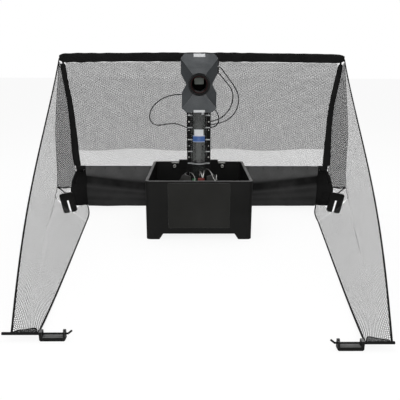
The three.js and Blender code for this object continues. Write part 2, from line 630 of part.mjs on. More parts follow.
function columnCapGeometry() {
  const low = rail.top;
  const disc = barZ(0, 0, low, capTop, columnCap.radius, roundSides);
  const strip = box(-columnCap.radius, columnCap.radius, -columnCap.halfDepth, columnCap.halfDepth, low,
    capTop);
  const tongue = box(-columnCap.tongueHalf, columnCap.tongueHalf, 0, columnCap.tongueReach, low, capTop);
  const ballHole = barZ(0, 0, low - overrun, capTop + overrun, tube.outer + gap, roundSides);
  const shaftHole = barZ(0, panMotorY, low - overrun, capTop + overrun, panMotor.hole);
  return cut(join(common(disc, strip), tongue), ballHole, shaftHole);
}

// Neck: the yoke turns on the column, driven by a pinion, and the head nods between its cheeks.

// A spur gear outline; teeth are set round the turn where a tooth's middle stands.
function gearOutline(teeth, pitch, from, until, foot) {
  const toothTurn = 2 * Math.PI / teeth;
  const tip = pitch + gears.module - gears.play;
  const root = pitch - gears.module - gears.play;
  // Half a tooth, as shares of its turn.
  const widthShares = [[root, gears.rootShare], [tip, gears.tipShare]];
  const points = [];
  for (let turn = from; turn < until - toothTurn / 2; turn += toothTurn) {
    for (const [r, share] of widthShares) points.push([r, turn - share * toothTurn]);
    for (const [r, share] of [...widthShares].reverse()) points.push([r, turn + share * toothTurn]);
  }
  for (const turn of foot) points.push(turn);
  return points.map(([r, turn]) => [r * Math.cos(turn), r * Math.sin(turn)]);
}

function yokeGeometry() {
  const inner = railInner + gap;
  const bandProfile = ring(inner, yoke.ringOuter - gears.play, yokeBottom, yokeTop);
  const parts = [turned(bandProfile, 'z')];
  const toothTurn = 2 * Math.PI / gears.ringTeeth;
  const from = Math.PI / 2 - Math.round(gears.sector / toothTurn) * toothTurn;
  const until = Math.PI - from;
  const innerArc = [];
  const steps = 12;
  for (let i = 0; i <= steps; i += 1) {
    innerArc.push([(inner + yoke.ringOuter) / 2, until + toothTurn / 2 + (from - until - toothTurn) *
      i / steps]);
  }
  const sector = gearOutline(gears.ringTeeth, ringPitch, from, until + toothTurn, innerArc);
  parts.push(prism(sector, 'z', yokeBottom, yokeBottom + gears.width));
  for (const side of [-1, 1]) {
    const near = side * yoke.cheekInner;
    const far = side * (yoke.cheekInner + yoke.cheekThickness);
    const [low, high] = [Math.min(near, far), Math.max(near, far)];
    const foot = yokeBottom;
    const arm = [
      [-yoke.footHalf, foot], [yoke.footHalf, foot], [yoke.armHalf, foot + yoke.footHalf],
      [tiltY + yoke.boss, exitHeight], [tiltY - yoke.boss, exitHeight],
      [-yoke.footHalf, foot + yoke.footHalf], ];
    parts.push(prism(arm, 'x', low, high));
    parts.push(barX(tiltY, exitHeight, low, high, yoke.boss, 20));
    parts.push(box(...[side * (inner + overrun), far].sort((a, b) => a - b), -yoke.footHalf, yoke.footHalf,
      yokeBottom, yokeTop));
  }
  const reach = yoke.cheekInner + yoke.cheekThickness + overrun;
  const pinHole = barX(tiltY, exitHeight, -reach, reach, yoke.pin, smallSides);
  return cut(join(...parts), pinHole,
    barZ(0, 0, yokeBottom - overrun, yokeTop + overrun, inner, roundSides));
}

// The way through the elbow: straight up, then a quarter bend to the front.
function elbowCurve(extraLow, extraFront) {
  const path = new THREE.CurvePath();
  const bendLow = exitHeight - elbow.bend;
  path.add(new THREE.LineCurve3(vec(0, 0, yokeTop - extraLow), vec(0, 0, bendLow)));
  const arc = [];
  const steps = 5;
  for (let i = 0; i <= steps; i += 1) {
    const turn = i / steps * Math.PI / 2;
    arc.push(vec(0, tiltY + elbow.bend * Math.cos(turn), bendLow + elbow.bend * Math.sin(turn)));
  }
  for (let i = 0; i < steps; i += 1) path.add(new THREE.LineCurve3(arc[i], arc[i + 1]));
  if (extraFront > 0) path.add(new THREE.LineCurve3(arc[steps],
    arc[steps].clone().add(vec(0, -extraFront, 0))));
  return path.curves.map((curve) => curve.v1).concat([path.curves[path.curves.length - 1].v2]);
}

// A round body through the points of an elbow, each section square to the way.
function roundLoft(points, radius, count) {
  const rings = points.map((point, i) => {
    const before = points[Math.max(i - 1, 0)];
    const after = points[Math.min(i + 1, points.length - 1)];
    const along = after.clone().sub(before).normalize();
    const up = vec(1, 0, 0).cross(along);
    const circle = [];
    for (let k = 0; k < count; k += 1) {
      const turn = k / count * 2 * Math.PI;
      circle.push(point.clone().add(vec(radius * Math.cos(turn), 0, 0)).addScaledVector(up, radius *
        Math.sin(turn)));
    }
    return circle;
  });
  return loft(rings);
}

function elbowGeometry() {
  const body = roundLoft(elbowCurve(0, 0), tube.outer, elbow.sides);
  const foot = barZ(0, 0, yokeTop, yokeTop + elbow.footHeight, elbow.foot, roundSides);
  const ball = new THREE.SphereGeometry(elbow.ball, smallSides, smallSides / 2).translate(0, tiltY,
    exitHeight);
  const front = common(ball, box(-elbow.ball, elbow.ball, elbow.ballFront, elbow.ball,
    exitHeight - elbow.ball, exitHeight + elbow.ball));
  const reach = elbow.ball + overrun;
  const bore = roundLoft(elbowCurve(overrun, reach), tube.bore, elbow.sides);
  return cut(join(body, foot, front), bore);
}

// The cradle holds the elbow's ball in a round socket and ends in a nose on which the head rolls.
function cradleGeometry() {
  const socketRadius = elbow.ball + 3 * gap;
  const startTurn = Math.asin(tube.bore / socketRadius);
  const endTurn = Math.acos((tiltY - cradle.back) / socketRadius);
  const socketArc = [];
  const steps = 5;
  for (let i = steps; i >= 0; i -= 1) {
    const turn = startTurn + (endTurn - startTurn) * i / steps;
    socketArc.push([socketRadius * Math.sin(turn), tiltY - socketRadius * Math.cos(turn)]);
  }
  const body = turned([
    [tube.bore, cradle.noseFront], [cradle.nose, cradle.noseFront], [cradle.nose, cradle.grooveFront],
    [cradle.groove, cradle.grooveFront], [cradle.groove, cradle.grooveBack],
    [cradle.nose, cradle.grooveBack],
    [cradle.nose, cradle.ringFront], [cradle.outer, cradle.ringFront], [cradle.outer, cradle.back],
    ...socketArc, [tube.bore, cradle.noseFront],
  ], 'y').translate(0, 0, exitHeight);
  const inner = cradle.outer - 3 * gap;
  const pins = [-1, 1].map((side) =>
    barX(tiltY, exitHeight, side * inner, side * (yoke.cheekInner + yoke.cheekThickness),
      yoke.pin - gap, 12));
  const shoulders = [-1, 1].map((side) =>
    barX(tiltY, exitHeight, side * inner, side * (yoke.cheekInner - gap), yoke.shoulder, 12));
  const behind = box(-yoke.cheekInner, yoke.cheekInner, cradle.back, 0, exitHeight - yoke.boss,
    exitHeight + yoke.boss);
  return join(cut(join(body, ...shoulders), behind), ...pins);
}

// Head: a faceted shell on a light plate, two throwing wheels above and below the ball's way.

// The hourglass outline of the plate and shell, anticlockwise seen from behind (x, height).
function hourglass() {
  const h = head;
  const right = [
    [h.bottomHalf, -h.bottomDrop], [h.lowHalf, -h.lowDrop], [h.lowHalf, -h.lobeDrop], [h.waistHalf, 0],
    [h.shoulderHalf, h.lobeRise], [h.shoulderHalf, h.shoulderRise], [h.topHalf, h.topRise],
  ];
  return right.concat([...right].reverse().map(([x, z]) => [-x, z]));
}

// The outline of the two front faces, with as many points as the hourglass.
function frontFaces() {
  const h = head;
  const e = h.faceEdge;
  const right = [
    [h.bottomHalf, -h.bottomDrop + e], [h.lowHalf - e, -h.lowDrop], [h.faceFootHalf, -h.faceFootRise],
    [h.faceWaistHalf, 0], [h.faceFootHalf, h.faceFootRise], [h.shoulderHalf - e, h.shoulderRise],
    [h.topHalf, h.topRise - e],
  ];
  return right.concat([...right].reverse().map(([x, z]) => [-x, z]));
}

// The outline moved in by a distance, or out by a negative one.
function inset(outline, distance) {
  return outline.map((point, i) => {
    const before = outline[(i + outline.length - 1) % outline.length];
    const after = outline[(i + 1) % outline.length];
    const first = new THREE.Vector2(point[0] - before[0], point[1] - before[1]).normalize();
    const second = new THREE.Vector2(after[0] - point[0], after[1] - point[1]).normalize();
    const normal = new THREE.Vector2(-first.y - second.y, first.x + second.x).normalize();
    const stretch = distance / normal.dot(new THREE.Vector2(-first.y, first.x));
    return [point[0] + normal.x * stretch, point[1] + normal.y * stretch];
  });
}

const headRing = (outline, y) => outline.map(([x, z]) => vec(x, y, exitHeight + z));

function coverGeometry() {
  const outer = loft([headRing(hourglass(), plateFront), headRing(hourglass(), head.skirtFront),
    headRing(frontFaces(), head.front)]);
  const slim = inset(hourglass(), head.wall);
  const inner = loft([headRing(slim, plateFront + overrun), headRing(slim, head.skirtFront),
    headRing(inset(frontFaces(), head.wall), head.front + head.wall)]);
  const out = head.front - overrun;
  const top = box(-notch.half, notch.half, out, plateFront + overrun, exitHeight +
    head.topRise - notch.topDepth, exitHeight + head.topRise + overrun);
  const low = box(-notch.half, notch.half, out, plateFront + overrun,
    exitHeight - head.bottomDrop - overrun, exitHeight - head.bottomDrop + notch.bottomDepth);
  const mouth = barY(0, exitHeight, out, head.skirtFront, outlet.outer + gap, roundSides);
  return cut(outer, inner, top, low, mouth);
}

function backPlateGeometry() {
  const outline = inset(hourglass(), -head.plateEdge);
  const plate = prism(outline.map(([x, z]) => [x, exitHeight + z]), 'y', plateFront, head.plateBack);
  const tab = box(lug.left, lug.right, plateFront, head.plateBack, exitHeight - lug.drop,
    exitHeight - head.bottomDrop + overrun);
  const cuts = [barY(0, exitHeight, plateFront - overrun, head.plateBack + overrun, cradle.nose + 2 *
    gap, roundSides)];
  const parts = [tab];
  const mountX = [motor.face - motor.mountWall, motor.face];
  for (const up of [-1, 1]) {
    const middle = exitHeight + up * wheel.rise;
    const slotHalf = wheel.rise - cradle.nose;
    cuts.push(box(-notch.half, notch.half, plateFront - overrun, head.plateBack + overrun,
      middle - slotHalf, middle + slotHalf));
    const span = mountX.map((x) => x * up).sort((a, b) => a - b);
    const wall = box(...span, wheel.y - motor.radius, head.plateBack, middle - motor.mountHalf,
      middle + motor.mountHalf);
    parts.push(cut(wall, barX(wheel.y, middle, span[0] - overrun, span[1] + overrun, motor.boss + gap,
      20)));
  }
  return join(cut(plate, ...cuts), ...parts);
}

function sleeveGeometry() {
  const inner = cradle.nose + 2 * gap;
  const ribBack = cradle.grooveBack - gap;
  const ribFront = cradle.grooveFront + gap;
  return turned([
    [inner, head.plateBack], [sleeve.outer, head.plateBack], [sleeve.outer, cradle.ringFront - gap],
    [inner, cradle.ringFront - gap], [inner, ribBack], [sleeve.rib, ribBack], [sleeve.rib, ribFront],
    [inner, ribFront], [inner, head.plateBack],
  ], 'y').translate(0, 0, exitHeight);
}

function outletGeometry() {
  const front = head.front - outlet.reach;
  const lip = (outlet.outer - outlet.bore) / 3;
  return turned([
    [outlet.bore, outlet.back], [outlet.outer, outlet.back], [outlet.outer, front + lip],
    [outlet.outer - lip, front], [outlet.bore + lip, front], [outlet.bore, front + lip],
    [outlet.bore, outlet.back], ], 'y').translate(0, 0, exitHeight);
}

// A throwing wheel's hub with its axle; side tells where its motor is.
function hubGeometry(side) {
  const rimOuter = wheel.radius - wheel.tyre;
  const rimInner = rimOuter - wheel.rim;
  const half = wheel.width / 2;
  const hubHalf = wheel.hubWidth / 2;
  const web = wheel.web / 2;
  const motorEnd = motor.face - motor.bossLength + wheel.axleInMotor;
  return turned([
    [0, -half - wheel.axleFree], [wheel.axle, -half - wheel.axleFree], [wheel.axle, -hubHalf],
    [wheel.hub, -hubHalf],
    [wheel.hub, -web], [rimInner, -web], [rimInner, -half], [rimOuter, -half], [rimOuter, half],
    [rimInner, half],
    [rimInner, web], [wheel.hub, web], [wheel.hub, hubHalf], [wheel.axle, hubHalf], [wheel.axle, motorEnd],
    [0, motorEnd],
  ], 'x', wheel.sides).scale(side, 1, 1).translate(0, wheel.y, exitHeight + side * wheel.rise);
}

function tyreGeometry(side) {
  const inner = wheel.radius - wheel.tyre + gap;
  const half = wheel.width / 2;
  return turned([
    [inner, -half], [wheel.radius, -half], [wheel.radius - wheel.crown, 0], [wheel.radius, half],
    [inner, half], [inner, -half],
  ], 'x', wheel.sides).translate(0, wheel.y, exitHeight + side * wheel.rise);
}

function wheelMotorGeometry(side) {
  const nose = motor.face - motor.bossLength;
  const depth = nose + wheel.axleInMotor + motor.bossLength;
  return turned([
    [motor.bore, nose], [motor.boss, nose], [motor.boss, motor.face], [motor.radius, motor.face],
    [motor.radius, motor.end - motor.bossLength], [motor.radius - motor.bossLength, motor.end],
    [0, motor.end], [0, depth], [motor.bore, depth], [motor.bore, nose],
  ], 'x', smallSides).scale(side, 1, 1).translate(0, wheel.y, exitHeight + side * wheel.rise);
}

function ballStopGeometry() {
  return box(-ballStop.halfWidth, ballStop.halfWidth, cradle.noseFront - ballStop.thickness,
    cradle.noseFront, exitHeight + ballStop.bottom, exitHeight + ballStop.top);
}

// Two cable plugs side by side on one base strip on the shell's flank.
function plugGeometry() {
  const block = (reach, low, high) => box(head.shoulderHalf, head.shoulderHalf + reach,
    plug.y - plug.depth / 2, plug.y + plug.depth / 2, exitHeight + low, exitHeight + high);
  const base = block(plug.base, Math.min(...plug.rises.flat()), Math.max(...plug.rises.flat()));
  return join(base, ...plug.rises.map(([low, high]) => block(plug.width, low, high)));
}

function cableGeometry(name) {
  const curve = new THREE.CatmullRomCurve3(cableRoutes[name].map(([x, y, z]) => vec(x, y, tube.top + z)));
  const steps = Math.round(curve.getLength() / cable.spacing);
  return swept(curve, roundSection(cable.radius, cable.sides), steps);
}

// Fill the robot's group

function addPickup() {
  add(robotGroup, 'bucket', bucketGeometry(), finishes.blackPlastic);
  add(robotGroup, 'front_plate', frontPlateGeometry(), finishes.platePlastic);
  add(robotGroup, 'pickup_base', pickupBaseGeometry(), finishes.blackPlastic);
  add(robotGroup, 'pickup_rotor', rotorGeometry(), finishes.rotorPlastic);
  add(robotGroup, 'rotor_cap', rotorCapGeometry(), finishes.redPlastic);
  add(robotGroup, 'feed_plate', feedPlateGeometry(), finishes.blackMetal);
  add(robotGroup, 'pickup_motor', feedMotorGeometry(), finishes.blackMetal);
  add(robotGroup, 'motor_cover', motorCoverGeometry(), finishes.redPlastic);
  add(robotGroup, 'pickup_cowl', cowlGeometry(), finishes.rotorPlastic);
}

function addColumn() {
  add(robotGroup, 'rail_left', railGeometry(-1), finishes.blackMetal);
  add(robotGroup, 'rail_right', railGeometry(1), finishes.blackMetal);
  add(robotGroup, 'ball_tube', turned(ring(tube.bore, tube.outer, plateTop, tube.top), 'z'),
    finishes.clearPlastic);
  for (let i = 0; i < collar.count; i += 1) {
    add(robotGroup, `tube_collar_${i + 1}`, collarGeometry(i === 0).translate(0, 0, collarZ(i)),
      finishes.steel);
  }
  add(robotGroup, 'tube_label', labelGeometry(), finishes.label);
  add(robotGroup, 'column_cap', columnCapGeometry(), finishes.blackMetal);
}

function addNeck() {
  const pinion = gearOutline(gears.pinionTeeth, pinionPitch, -Math.PI / 2 + Math.PI / gears.pinionTeeth,
    3 * Math.PI / 2 + Math.PI / gears.pinionTeeth, []);
  const teeth = prism(pinion, 'z', yokeBottom, yokeBottom + gears.width);
  const shaft = barZ(0, 0, rail.top + gap, yokeBottom + gears.width / 2, panMotor.shaft);
  add(robotGroup, 'pan_pinion', join(teeth, shaft).translate(0, panMotorY, 0), finishes.steel);
  const body = prism(roundedRectangle(panMotor.width / 2, panMotor.depth / 2, panMotor.corner, 0,
    panMotorY), 'z', rail.top - panMotor.height, rail.top);
  add(robotGroup, 'pan_motor', body, finishes.blackPlastic);
  add(robotGroup, 'yoke', yokeGeometry(), finishes.blackPlastic);
  add(robotGroup, 'elbow', elbowGeometry(), finishes.blackPlastic);
  add(robotGroup, 'cradle', cradleGeometry(), finishes.blackPlastic);
  add(robotGroup, 'ball_stop', ballStopGeometry(), finishes.rubber);
}

function addHead() {
  add(robotGroup, 'head_sleeve', sleeveGeometry(), finishes.blackPlastic);
  add(robotGroup, 'head_back_plate', backPlateGeometry(), finishes.lightPlate);
  add(robotGroup, 'head_cover', coverGeometry(), finishes.shell);
  add(robotGroup, 'outlet_ring', outletGeometry(), finishes.rubber);
  for (const [word, side] of [['upper', 1], ['lower', -1]]) {
    add(robotGroup, `${word}_wheel_hub`, hubGeometry(side), finishes.steel);
    add(robotGroup, `${word}_wheel_tyre`, tyreGeometry(side), finishes.tyre);
    add(robotGroup, `${word}_wheel_motor`, wheelMotorGeometry(side), finishes.blackMetal);
  }
  add(robotGroup, 'cable_plugs', plugGeometry(), finishes.blackPlastic);
  for (const name of Object.keys(cableRoutes)) add(robotGroup, name, cableGeometry(name), finishes.cable);
}

// Net: a fabric rail on two leaning uprights, a netting back, a cloth trough and two side wings.

const uprightFoot = (side) => vec(side * crossbar.halfWidth, crossbar.y, crossbar.z);
const uprightTop = (side) => vec(side * upright.topX, topRail.y, topRail.bottom + upright.inRail);

// A point of an upright's middle line, from the crossbar (0) to its end inside the rail (1).
function uprightPoint(side, share) {
  const bow = 16 * share ** 2 * (1 - share) ** 2 * upright.bow; // 16 brings the middle to the full bow
  return uprightFoot(side).lerp(uprightTop(side), share).add(vec(-side * bow, 0, 0));
}

const uprightWay = (side) => uprightTop(side).sub(uprightFoot(side)).normalize();

function uprightCurve(side, from, to, count) {
  const points = [];
  for (let i = 0; i <= count; i += 1) points.push(uprightPoint(side, from + (to - from) * i / count));
  return new THREE.CatmullRomCurve3(points);
}

const railBottom = (x) => topRail.bottom - topRail.droop * (x / topRail.halfWidth) ** 2;

function uprightGeometry(side) {
  const rod = swept(uprightCurve(side, upright.start, 1, 8), roundSection(upright.rod, 8), 8);
  const section = roundSection(upright.sleeveWide, 10, upright.sleeveDeep / upright.sleeveWide);
  return join(rod, swept(uprightCurve(side, upright.sleeveStart, upright.sleeveEnd, 8), section, 8));
}

function topRailGeometry() {
  const section = (x, height) => {
    const middle = railBottom(x) + topRail.height / 2;
    return roundedRectangle(topRail.thickness / 2, height / 2, topRail.corner, topRail.y, middle, 2)
      .map(([y, z]) => vec(x, y, z));
  };
  const inside = topRail.halfWidth - topRail.endTaper;
  const rings = [section(-topRail.halfWidth, topRail.endHeight)];
  const steps = 6;
  for (let i = 0; i <= steps; i += 1) rings.push(section(inside * (2 * i / steps - 1), topRail.height));
  rings.push(section(topRail.halfWidth, topRail.endHeight));
  const bores = [-1, 1].map((side) => bar(uprightPoint(side, upright.sleeveEnd),
    uprightPoint(side, 1).addScaledVector(uprightWay(side), gap), upright.rod + 3 * gap, 10));
  return cut(loft(rings), ...bores);
}

function crossbarGeometry() {
  const tubeBar = barX(crossbar.y, crossbar.z, -crossbar.halfWidth, crossbar.halfWidth, crossbar.radius,
    12);
  const sockets = [];
  const bores = [];
  for (const side of [-1, 1]) {
    const along = (distance) => uprightFoot(side).addScaledVector(uprightWay(side), distance);
    sockets.push(bar(along(-socket.below), along(socket.above), socket.radius, 12));
    const start = uprightPoint(side, upright.start).addScaledVector(uprightWay(side), -gap);
    bores.push(bar(start.addScaledVector(uprightWay(side), -gap), along(socket.above + overrun),
      upright.rod + 3 * gap, 10));
  }
  return cut(join(tubeBar, ...sockets), ...bores);
}

// The bracket hooks over the bucket's back wall, clamps the crossbar and holds two ring bolts.
function bracketGeometry() {
  const inner = halfBucketY - bucket.wall - gap;
  const outer = halfBucketY + gap;
  const low = bucket.height;
  const barMiddle = halfBucketY + crossbar.behindBucket;
  const hook = [
    [inner - bracket.plate, low - bracket.innerDrop], [inner, low - bracket.innerDrop], [inner, low],
    [outer, low], [outer, low - bracket.outerDrop], [outer + bracket.plate, low - bracket.outerDrop],
    [outer + bracket.plate, low + bracket.rise], [inner - bracket.plate, low + bracket.rise],
  ];
  const parts = [prism(hook, 'x', -bracket.halfWidth, bracket.halfWidth)];
  const reach = crossbar.radius + bracket.clampWall;
  const wide = bracket.halfWidth + bracket.earReach;
  const earHalf = bracket.earHeight / 2;
  const earZ = bucket.height - underRim.bracketEar;
  parts.push(box(-wide, wide, inner - bracket.plate, inner, earZ - earHalf, earZ + earHalf));
  for (const side of [-1, 1]) {
    const middle = side * bracket.clampX;
    parts.push(box(middle - bracket.clampHalf, middle + bracket.clampHalf, outer, barMiddle + reach,
      crossbar.z - reach, crossbar.z + reach));
    const face = inner - bracket.plate;
    parts.push(turned(ring(ringBolt.hole, ringBolt.outer, face - ringBolt.height, face +
      ringBolt.height / 2), 'y', 10)
      .translate(side * ringBolt.x, 0, earZ));
  }
  const way = barX(barMiddle, crossbar.z, -bracket.halfWidth, bracket.halfWidth, crossbar.radius + gap,
    12);
  return cut(join(...parts), way);
}

// From an upright's middle to a sheet beside it.
const uprightEdge = upright.sleeveWide + net.thickness / 2 + gap;

// The share of an upright at a height.
const uprightShare = (z) => (z - crossbar.z) / (topRail.bottom + upright.inRail - crossbar.z);

// The netting behind the robot: its sides follow the uprights and its foot hangs in the trough's back.
function rearNetPlace(u, v) {
  const across = 2 * u - 1;
  const top = railBottom(across * upright.topX) - gap;
  const z = rearNet.bottomZ + (top - rearNet.bottomZ) * v;
  const edge = uprightPoint(1, Math.max(uprightShare(z), 0));
  const middleY = rearNet.bottomY + (topRail.y - net.spread - rearNet.bottomY) * v;
  const hold = Math.abs(across) ** rearNet.sideHold * Math.min(1, rearNet.footHold * v) * Math.min(1,
    rearNet.footHold * (1 - v));
  return vec(across * (edge.x - uprightEdge), middleY + (edge.y - middleY) * hold, z);
}

// A second, looser netting behind it, with a wavy foot.
function curtainPlace(u, v) {
  const x = curtain.halfWidth * (2 * u - 1);
  const low = curtain.bottom + curtain.wave * Math.sin((2 * u - 1) * curtain.waves * Math.PI);
  const top = railBottom(x) - gap;
  const hang = Math.min(1, curtain.hang * (1 - v));
  const y = topRail.y + net.spread + (topRail.thickness / 2 - net.thickness - net.spread) * hang;
  return vec(x, y, low + (top - low) * v);
}

// A side flap fills the corner between an upright and the tip that hangs outside it.
function flapPlace(side, u, v) {
  const share = flap.topShare + (flap.footShare - flap.topShare) * v;
  const inner = uprightPoint(side, share).add(vec(side * uprightEdge, 0, 0));
  const top = uprightPoint(side, flap.topShare).add(vec(side * (uprightEdge + flap.topWidth), 0, 0));
  return inner.lerp(top.lerp(vec(side * flap.tipX, flap.tipY, flap.tipZ), v), u);
}

const sideSwell = (share) => Math.sin(Math.PI * share);

// The wing's upper cord, from the rail's end to the outer end of the front rod.
function upperCord(end, share) {
  const from = vec(end.side * (topRail.halfWidth + net.thickness), topRail.y, topRail.bottom + wing.onRail);
  const rodOut = end.clipX + clip.length / 2 + end.rod - wing.rodEnd;
  const to = vec(end.side * rodOut, -end.reach + wingRod.radius + gap, clip.rodZ);
  const swell = sideSwell(share);
  return from.lerp(to, share).add(vec(end.side * end.cordBow * swell, 0, -wing.cordSag * swell));
}

// The lower cord, along the floor to the inner end of the front rod.
function lowerCord(end, share) {
  const rodIn = end.clipX + clip.length / 2 + wingRod.radius;
  const from = vec(end.side * wing.backX, wing.backY, wing.floorGap);
  const to = vec(end.side * rodIn, -end.reach + wingRod.radius + gap, clip.rodZ);
  const at = from.clone().lerp(to, share);
  return vec(at.x, at.y, from.z + (to.z - from.z) * share ** wing.liftPower);
}

// The wing's back edge, from the rail's end down past the flap's tip and the fork clip to the floor.
function wingBack(end) {
  return new THREE.CatmullRomCurve3([
    upperCord(end, 0),
    vec(end.side * wing.midX, wing.midY, wing.midZ),
    vec(end.side * (flap.tipX + 2 * net.thickness), flap.tipY, flap.tipZ),
    vec(end.side * wing.forkX, wing.forkY, wing.forkZ),
    lowerCord(end, 0),
  ]);
}

// A sheet stretched between the four edges.
function wingGeometry(end) {
  const back = wingBack(end);
  const front = (v) => upperCord(end, 1).lerp(lowerCord(end, 1), v);
  const place = (u, v) => {
    const sum = vec(0, 0, 0);
    sum.addScaledVector(upperCord(end, u), 1 - v).addScaledVector(lowerCord(end, u), v);
    sum.addScaledVector(back.getPoint(v), 1 - u).addScaledVector(front(v), u);
    sum.addScaledVector(upperCord(end, 0), -(1 - u) * (1 - v)).addScaledVector(upperCord(end, 1), -u *
      (1 - v));
    sum.addScaledVector(lowerCord(end, 0), -(1 - u) * v).addScaledVector(lowerCord(end, 1), -u * v);
    return sum;
  };
  return sheet(place, wing.along, wing.across, net.thickness, net.holeShare);
}

// The trough's cloth. Its section runs from the front lip past a fold and the belly to the back edge;
// each pair is a share of the width and of the depth, and the fold fades out towards the ends.
const troughSection = [
  { back: 0, up: 1 }, { back: 0, up: 0.92 }, { back: 0.01, up: 0.84 }, { back: 0.2, up: 0.74, sag: 0.1 },
  { back: 0.14, up: 0.65, sag: 0.09 }, { back: 0, up: 0.5 }, { back: 0.03, up: 0.24 },
    { back: 0.14, up: 0.05 },
  { back: 0.42, up: 0 }, { back: 0.76, up: 0.05 }, { back: 0.93, up: 0.32 }, { back: 0.97, up: 0.6 },
  { back: 1, up: 0.86 },
];

function troughPlace(u, v) {
  const slack = sideSwell(u);
  const deep = trough.lipZ - trough.bottomZ - trough.wall;
  const wide = trough.rearY - troughFront;
  const line = new THREE.CatmullRomCurve3(troughSection.map(({ back, up, sag = 0 }) =>
    vec(0, troughFront + wide * back, trough.bottomZ + trough.wall + deep * (up - sag * slack))));
  const at = line.getPoint(v);
  return vec(trough.halfWidth * (2 * u - 1), at.y, at.z);
}

function troughGeometry() {
  const cloth = sheet(troughPlace, trough.stations, troughSection.length - 1, trough.wall);
  const half = bracket.clampX + bracket.clampHalf + trough.bracketRoom;
  const low = crossbar.z - crossbar.radius - bracket.clampWall - trough.bracketRoom;
  const passage = box(robotShiftX - half, robotShiftX + half, 0, (troughFront + trough.rearY) / 2, low,
    trough.lipZ + trough.bracketRoom);
  return cut(cloth, passage);
}

// Cloth gathered in pleats from the trough's end to the back of the fork clip.
function gatherGeometry(side) {
  const halfY = (trough.rearY - troughFront) / 2;
  const halfZ = (gather.top - gather.bottom) / 2;
  const from = vec(0, (troughFront + trough.rearY) / 2, (gather.top + gather.bottom) / 2);
  const endHalfY = gather.smallShare * (halfY + gather.pleatDepth);
  const to = vec(0, fork.y + fork.thickness / 2 + gap + endHalfY, gather.endZ);
  const rings = [];
  for (let i = 0; i <= gather.rings; i += 1) {
    const share = i / gather.rings;
    const size = 1 - (1 - gather.smallShare) * Math.sin(share * Math.PI / 2);
    const middle = from.clone().lerp(to, share ** 2);
    const circle = [];
    for (let k = 0; k < gather.points; k += 1) {
      const turn = k / gather.points * 2 * Math.PI;
      const fold = gather.pleatDepth * share * Math.cos(gather.pleats * turn);
      circle.push(vec(side * (trough.halfWidth + gap + gather.reach * share),
        middle.y + size * (halfY + fold) * Math.cos(turn), middle.z + size * (halfZ + fold) *
          Math.sin(turn)));
    }
    rings.push(circle);
  }
  return loft(rings);
}

function forkGeometry(side) {
  const half = fork.width / 2;
  const outline = roundedRectangle(half, fork.height / 2, fork.corner, 0, fork.height / 2, 3);
  const body = prism(outline, 'y', fork.y - fork.thickness / 2, fork.y + fork.thickness / 2);
  const slot = box(-fork.slot / 2, fork.slot / 2, fork.y - fork.thickness, fork.y + fork.thickness,
    -overrun, fork.slotHeight);
  return cut(body, slot).rotateY(side * fork.tilt).translate(side * fork.x, 0, fork.floor + half *
    Math.sin(fork.tilt));
}

// The front rod: thick beyond the clip, thin through it, with a bent tail that keeps it in.
function wingRodGeometry(end) {
  const outerFace = end.clipX + clip.length / 2;
  const innerFace = end.clipX - clip.length / 2;
  const at = (x) => vec(end.side * x, -end.reach, clip.rodZ);
  const bend = at(innerFace - wingRod.tail / 2);
  const tip = bend.clone().add(vec(-end.side * wingRod.tail * Math.cos(wingRod.tailTurn), 0,
    wingRod.tail * Math.sin(wingRod.tailTurn)));
  const thick = bar(at(outerFace + gap), at(outerFace + end.rod), wingRod.radius, 12);
  const thin = bar(bend.clone().add(vec(-end.side * wingRod.thin / 2, 0, 0)),
    at(outerFace + wingRod.radius), wingRod.thin, 8);
  return join(thick, thin, bar(bend, tip, wingRod.thin, 8));
}

// An edge clip: a bar with a boss at its outer end and a knobbed lug at its inner one.
function clipGeometry(end) {
  const half = clip.length / 2;
  const outline = [
    [-half, clip.corner], [-half + clip.corner, 0], [half - clip.corner, 0], [half, clip.corner],
    [half, clip.height],
    [half - clip.boss, clip.height], [half - clip.boss, clip.barHeight], [-half + clip.lug, clip.barHeight],
    [-half + clip.lug, clip.height], [-half, clip.height],
  ];
  const body = prism(outline, 'y', -clip.barDepth / 2, clip.barDepth / 2);
  const knob = barX(0, clip.height, -half, -half + clip.lug, clip.knob, 10);
  const hole = barX(0, clip.rodZ, -half - overrun, half + overrun, clip.hole, 12);
  return cut(join(body, knob), hole).scale(end.side, 1, 1).translate(end.side * end.clipX, -end.reach, 0);
}

function addNet() {
  add(robotGroup, 'net_bracket', bracketGeometry(), finishes.blackMetal);
  add(netGroup, 'net_crossbar', crossbarGeometry(), finishes.blackMetal);
  add(netGroup, 'top_rail', topRailGeometry(), finishes.blackFabric);
  const netting = (place, size) => sheet(place, size.across, size.down, net.thickness, net.holeShare);
  add(netGroup, 'rear_net', netting(rearNetPlace, rearNet), finishes.netting);
  add(netGroup, 'rear_curtain', netting(curtainPlace, curtain), finishes.netting);
  add(netGroup, 'trough', troughGeometry(), finishes.greyFabric);
  for (const [word, end] of Object.entries(sides)) {
    const { side } = end;
    add(netGroup, `upright_${word}`, uprightGeometry(side), finishes.blackFabric);
    add(netGroup, `flap_${word}`, netting((u, v) => flapPlace(side, u, v), flap), finishes.netting);
    add(netGroup, `wing_${word}`, wingGeometry(end), finishes.netting);
    add(netGroup, `trough_end_${word}`, gatherGeometry(side), finishes.blackFabric);
    add(netGroup, `fork_clip_${word}`, forkGeometry(side), finishes.blackPlastic);
    add(netGroup, `wing_rod_${word}`, wingRodGeometry(end), finishes.blackMetal);
    add(netGroup, `edge_clip_${word}`, clipGeometry(end), finishes.blackPlastic);
  }
}

addPickup();
addColumn();
addNeck();
addHead();
addNet();

const group = new THREE.Group();
group.add(robotGroup, netGroup);
export default group;
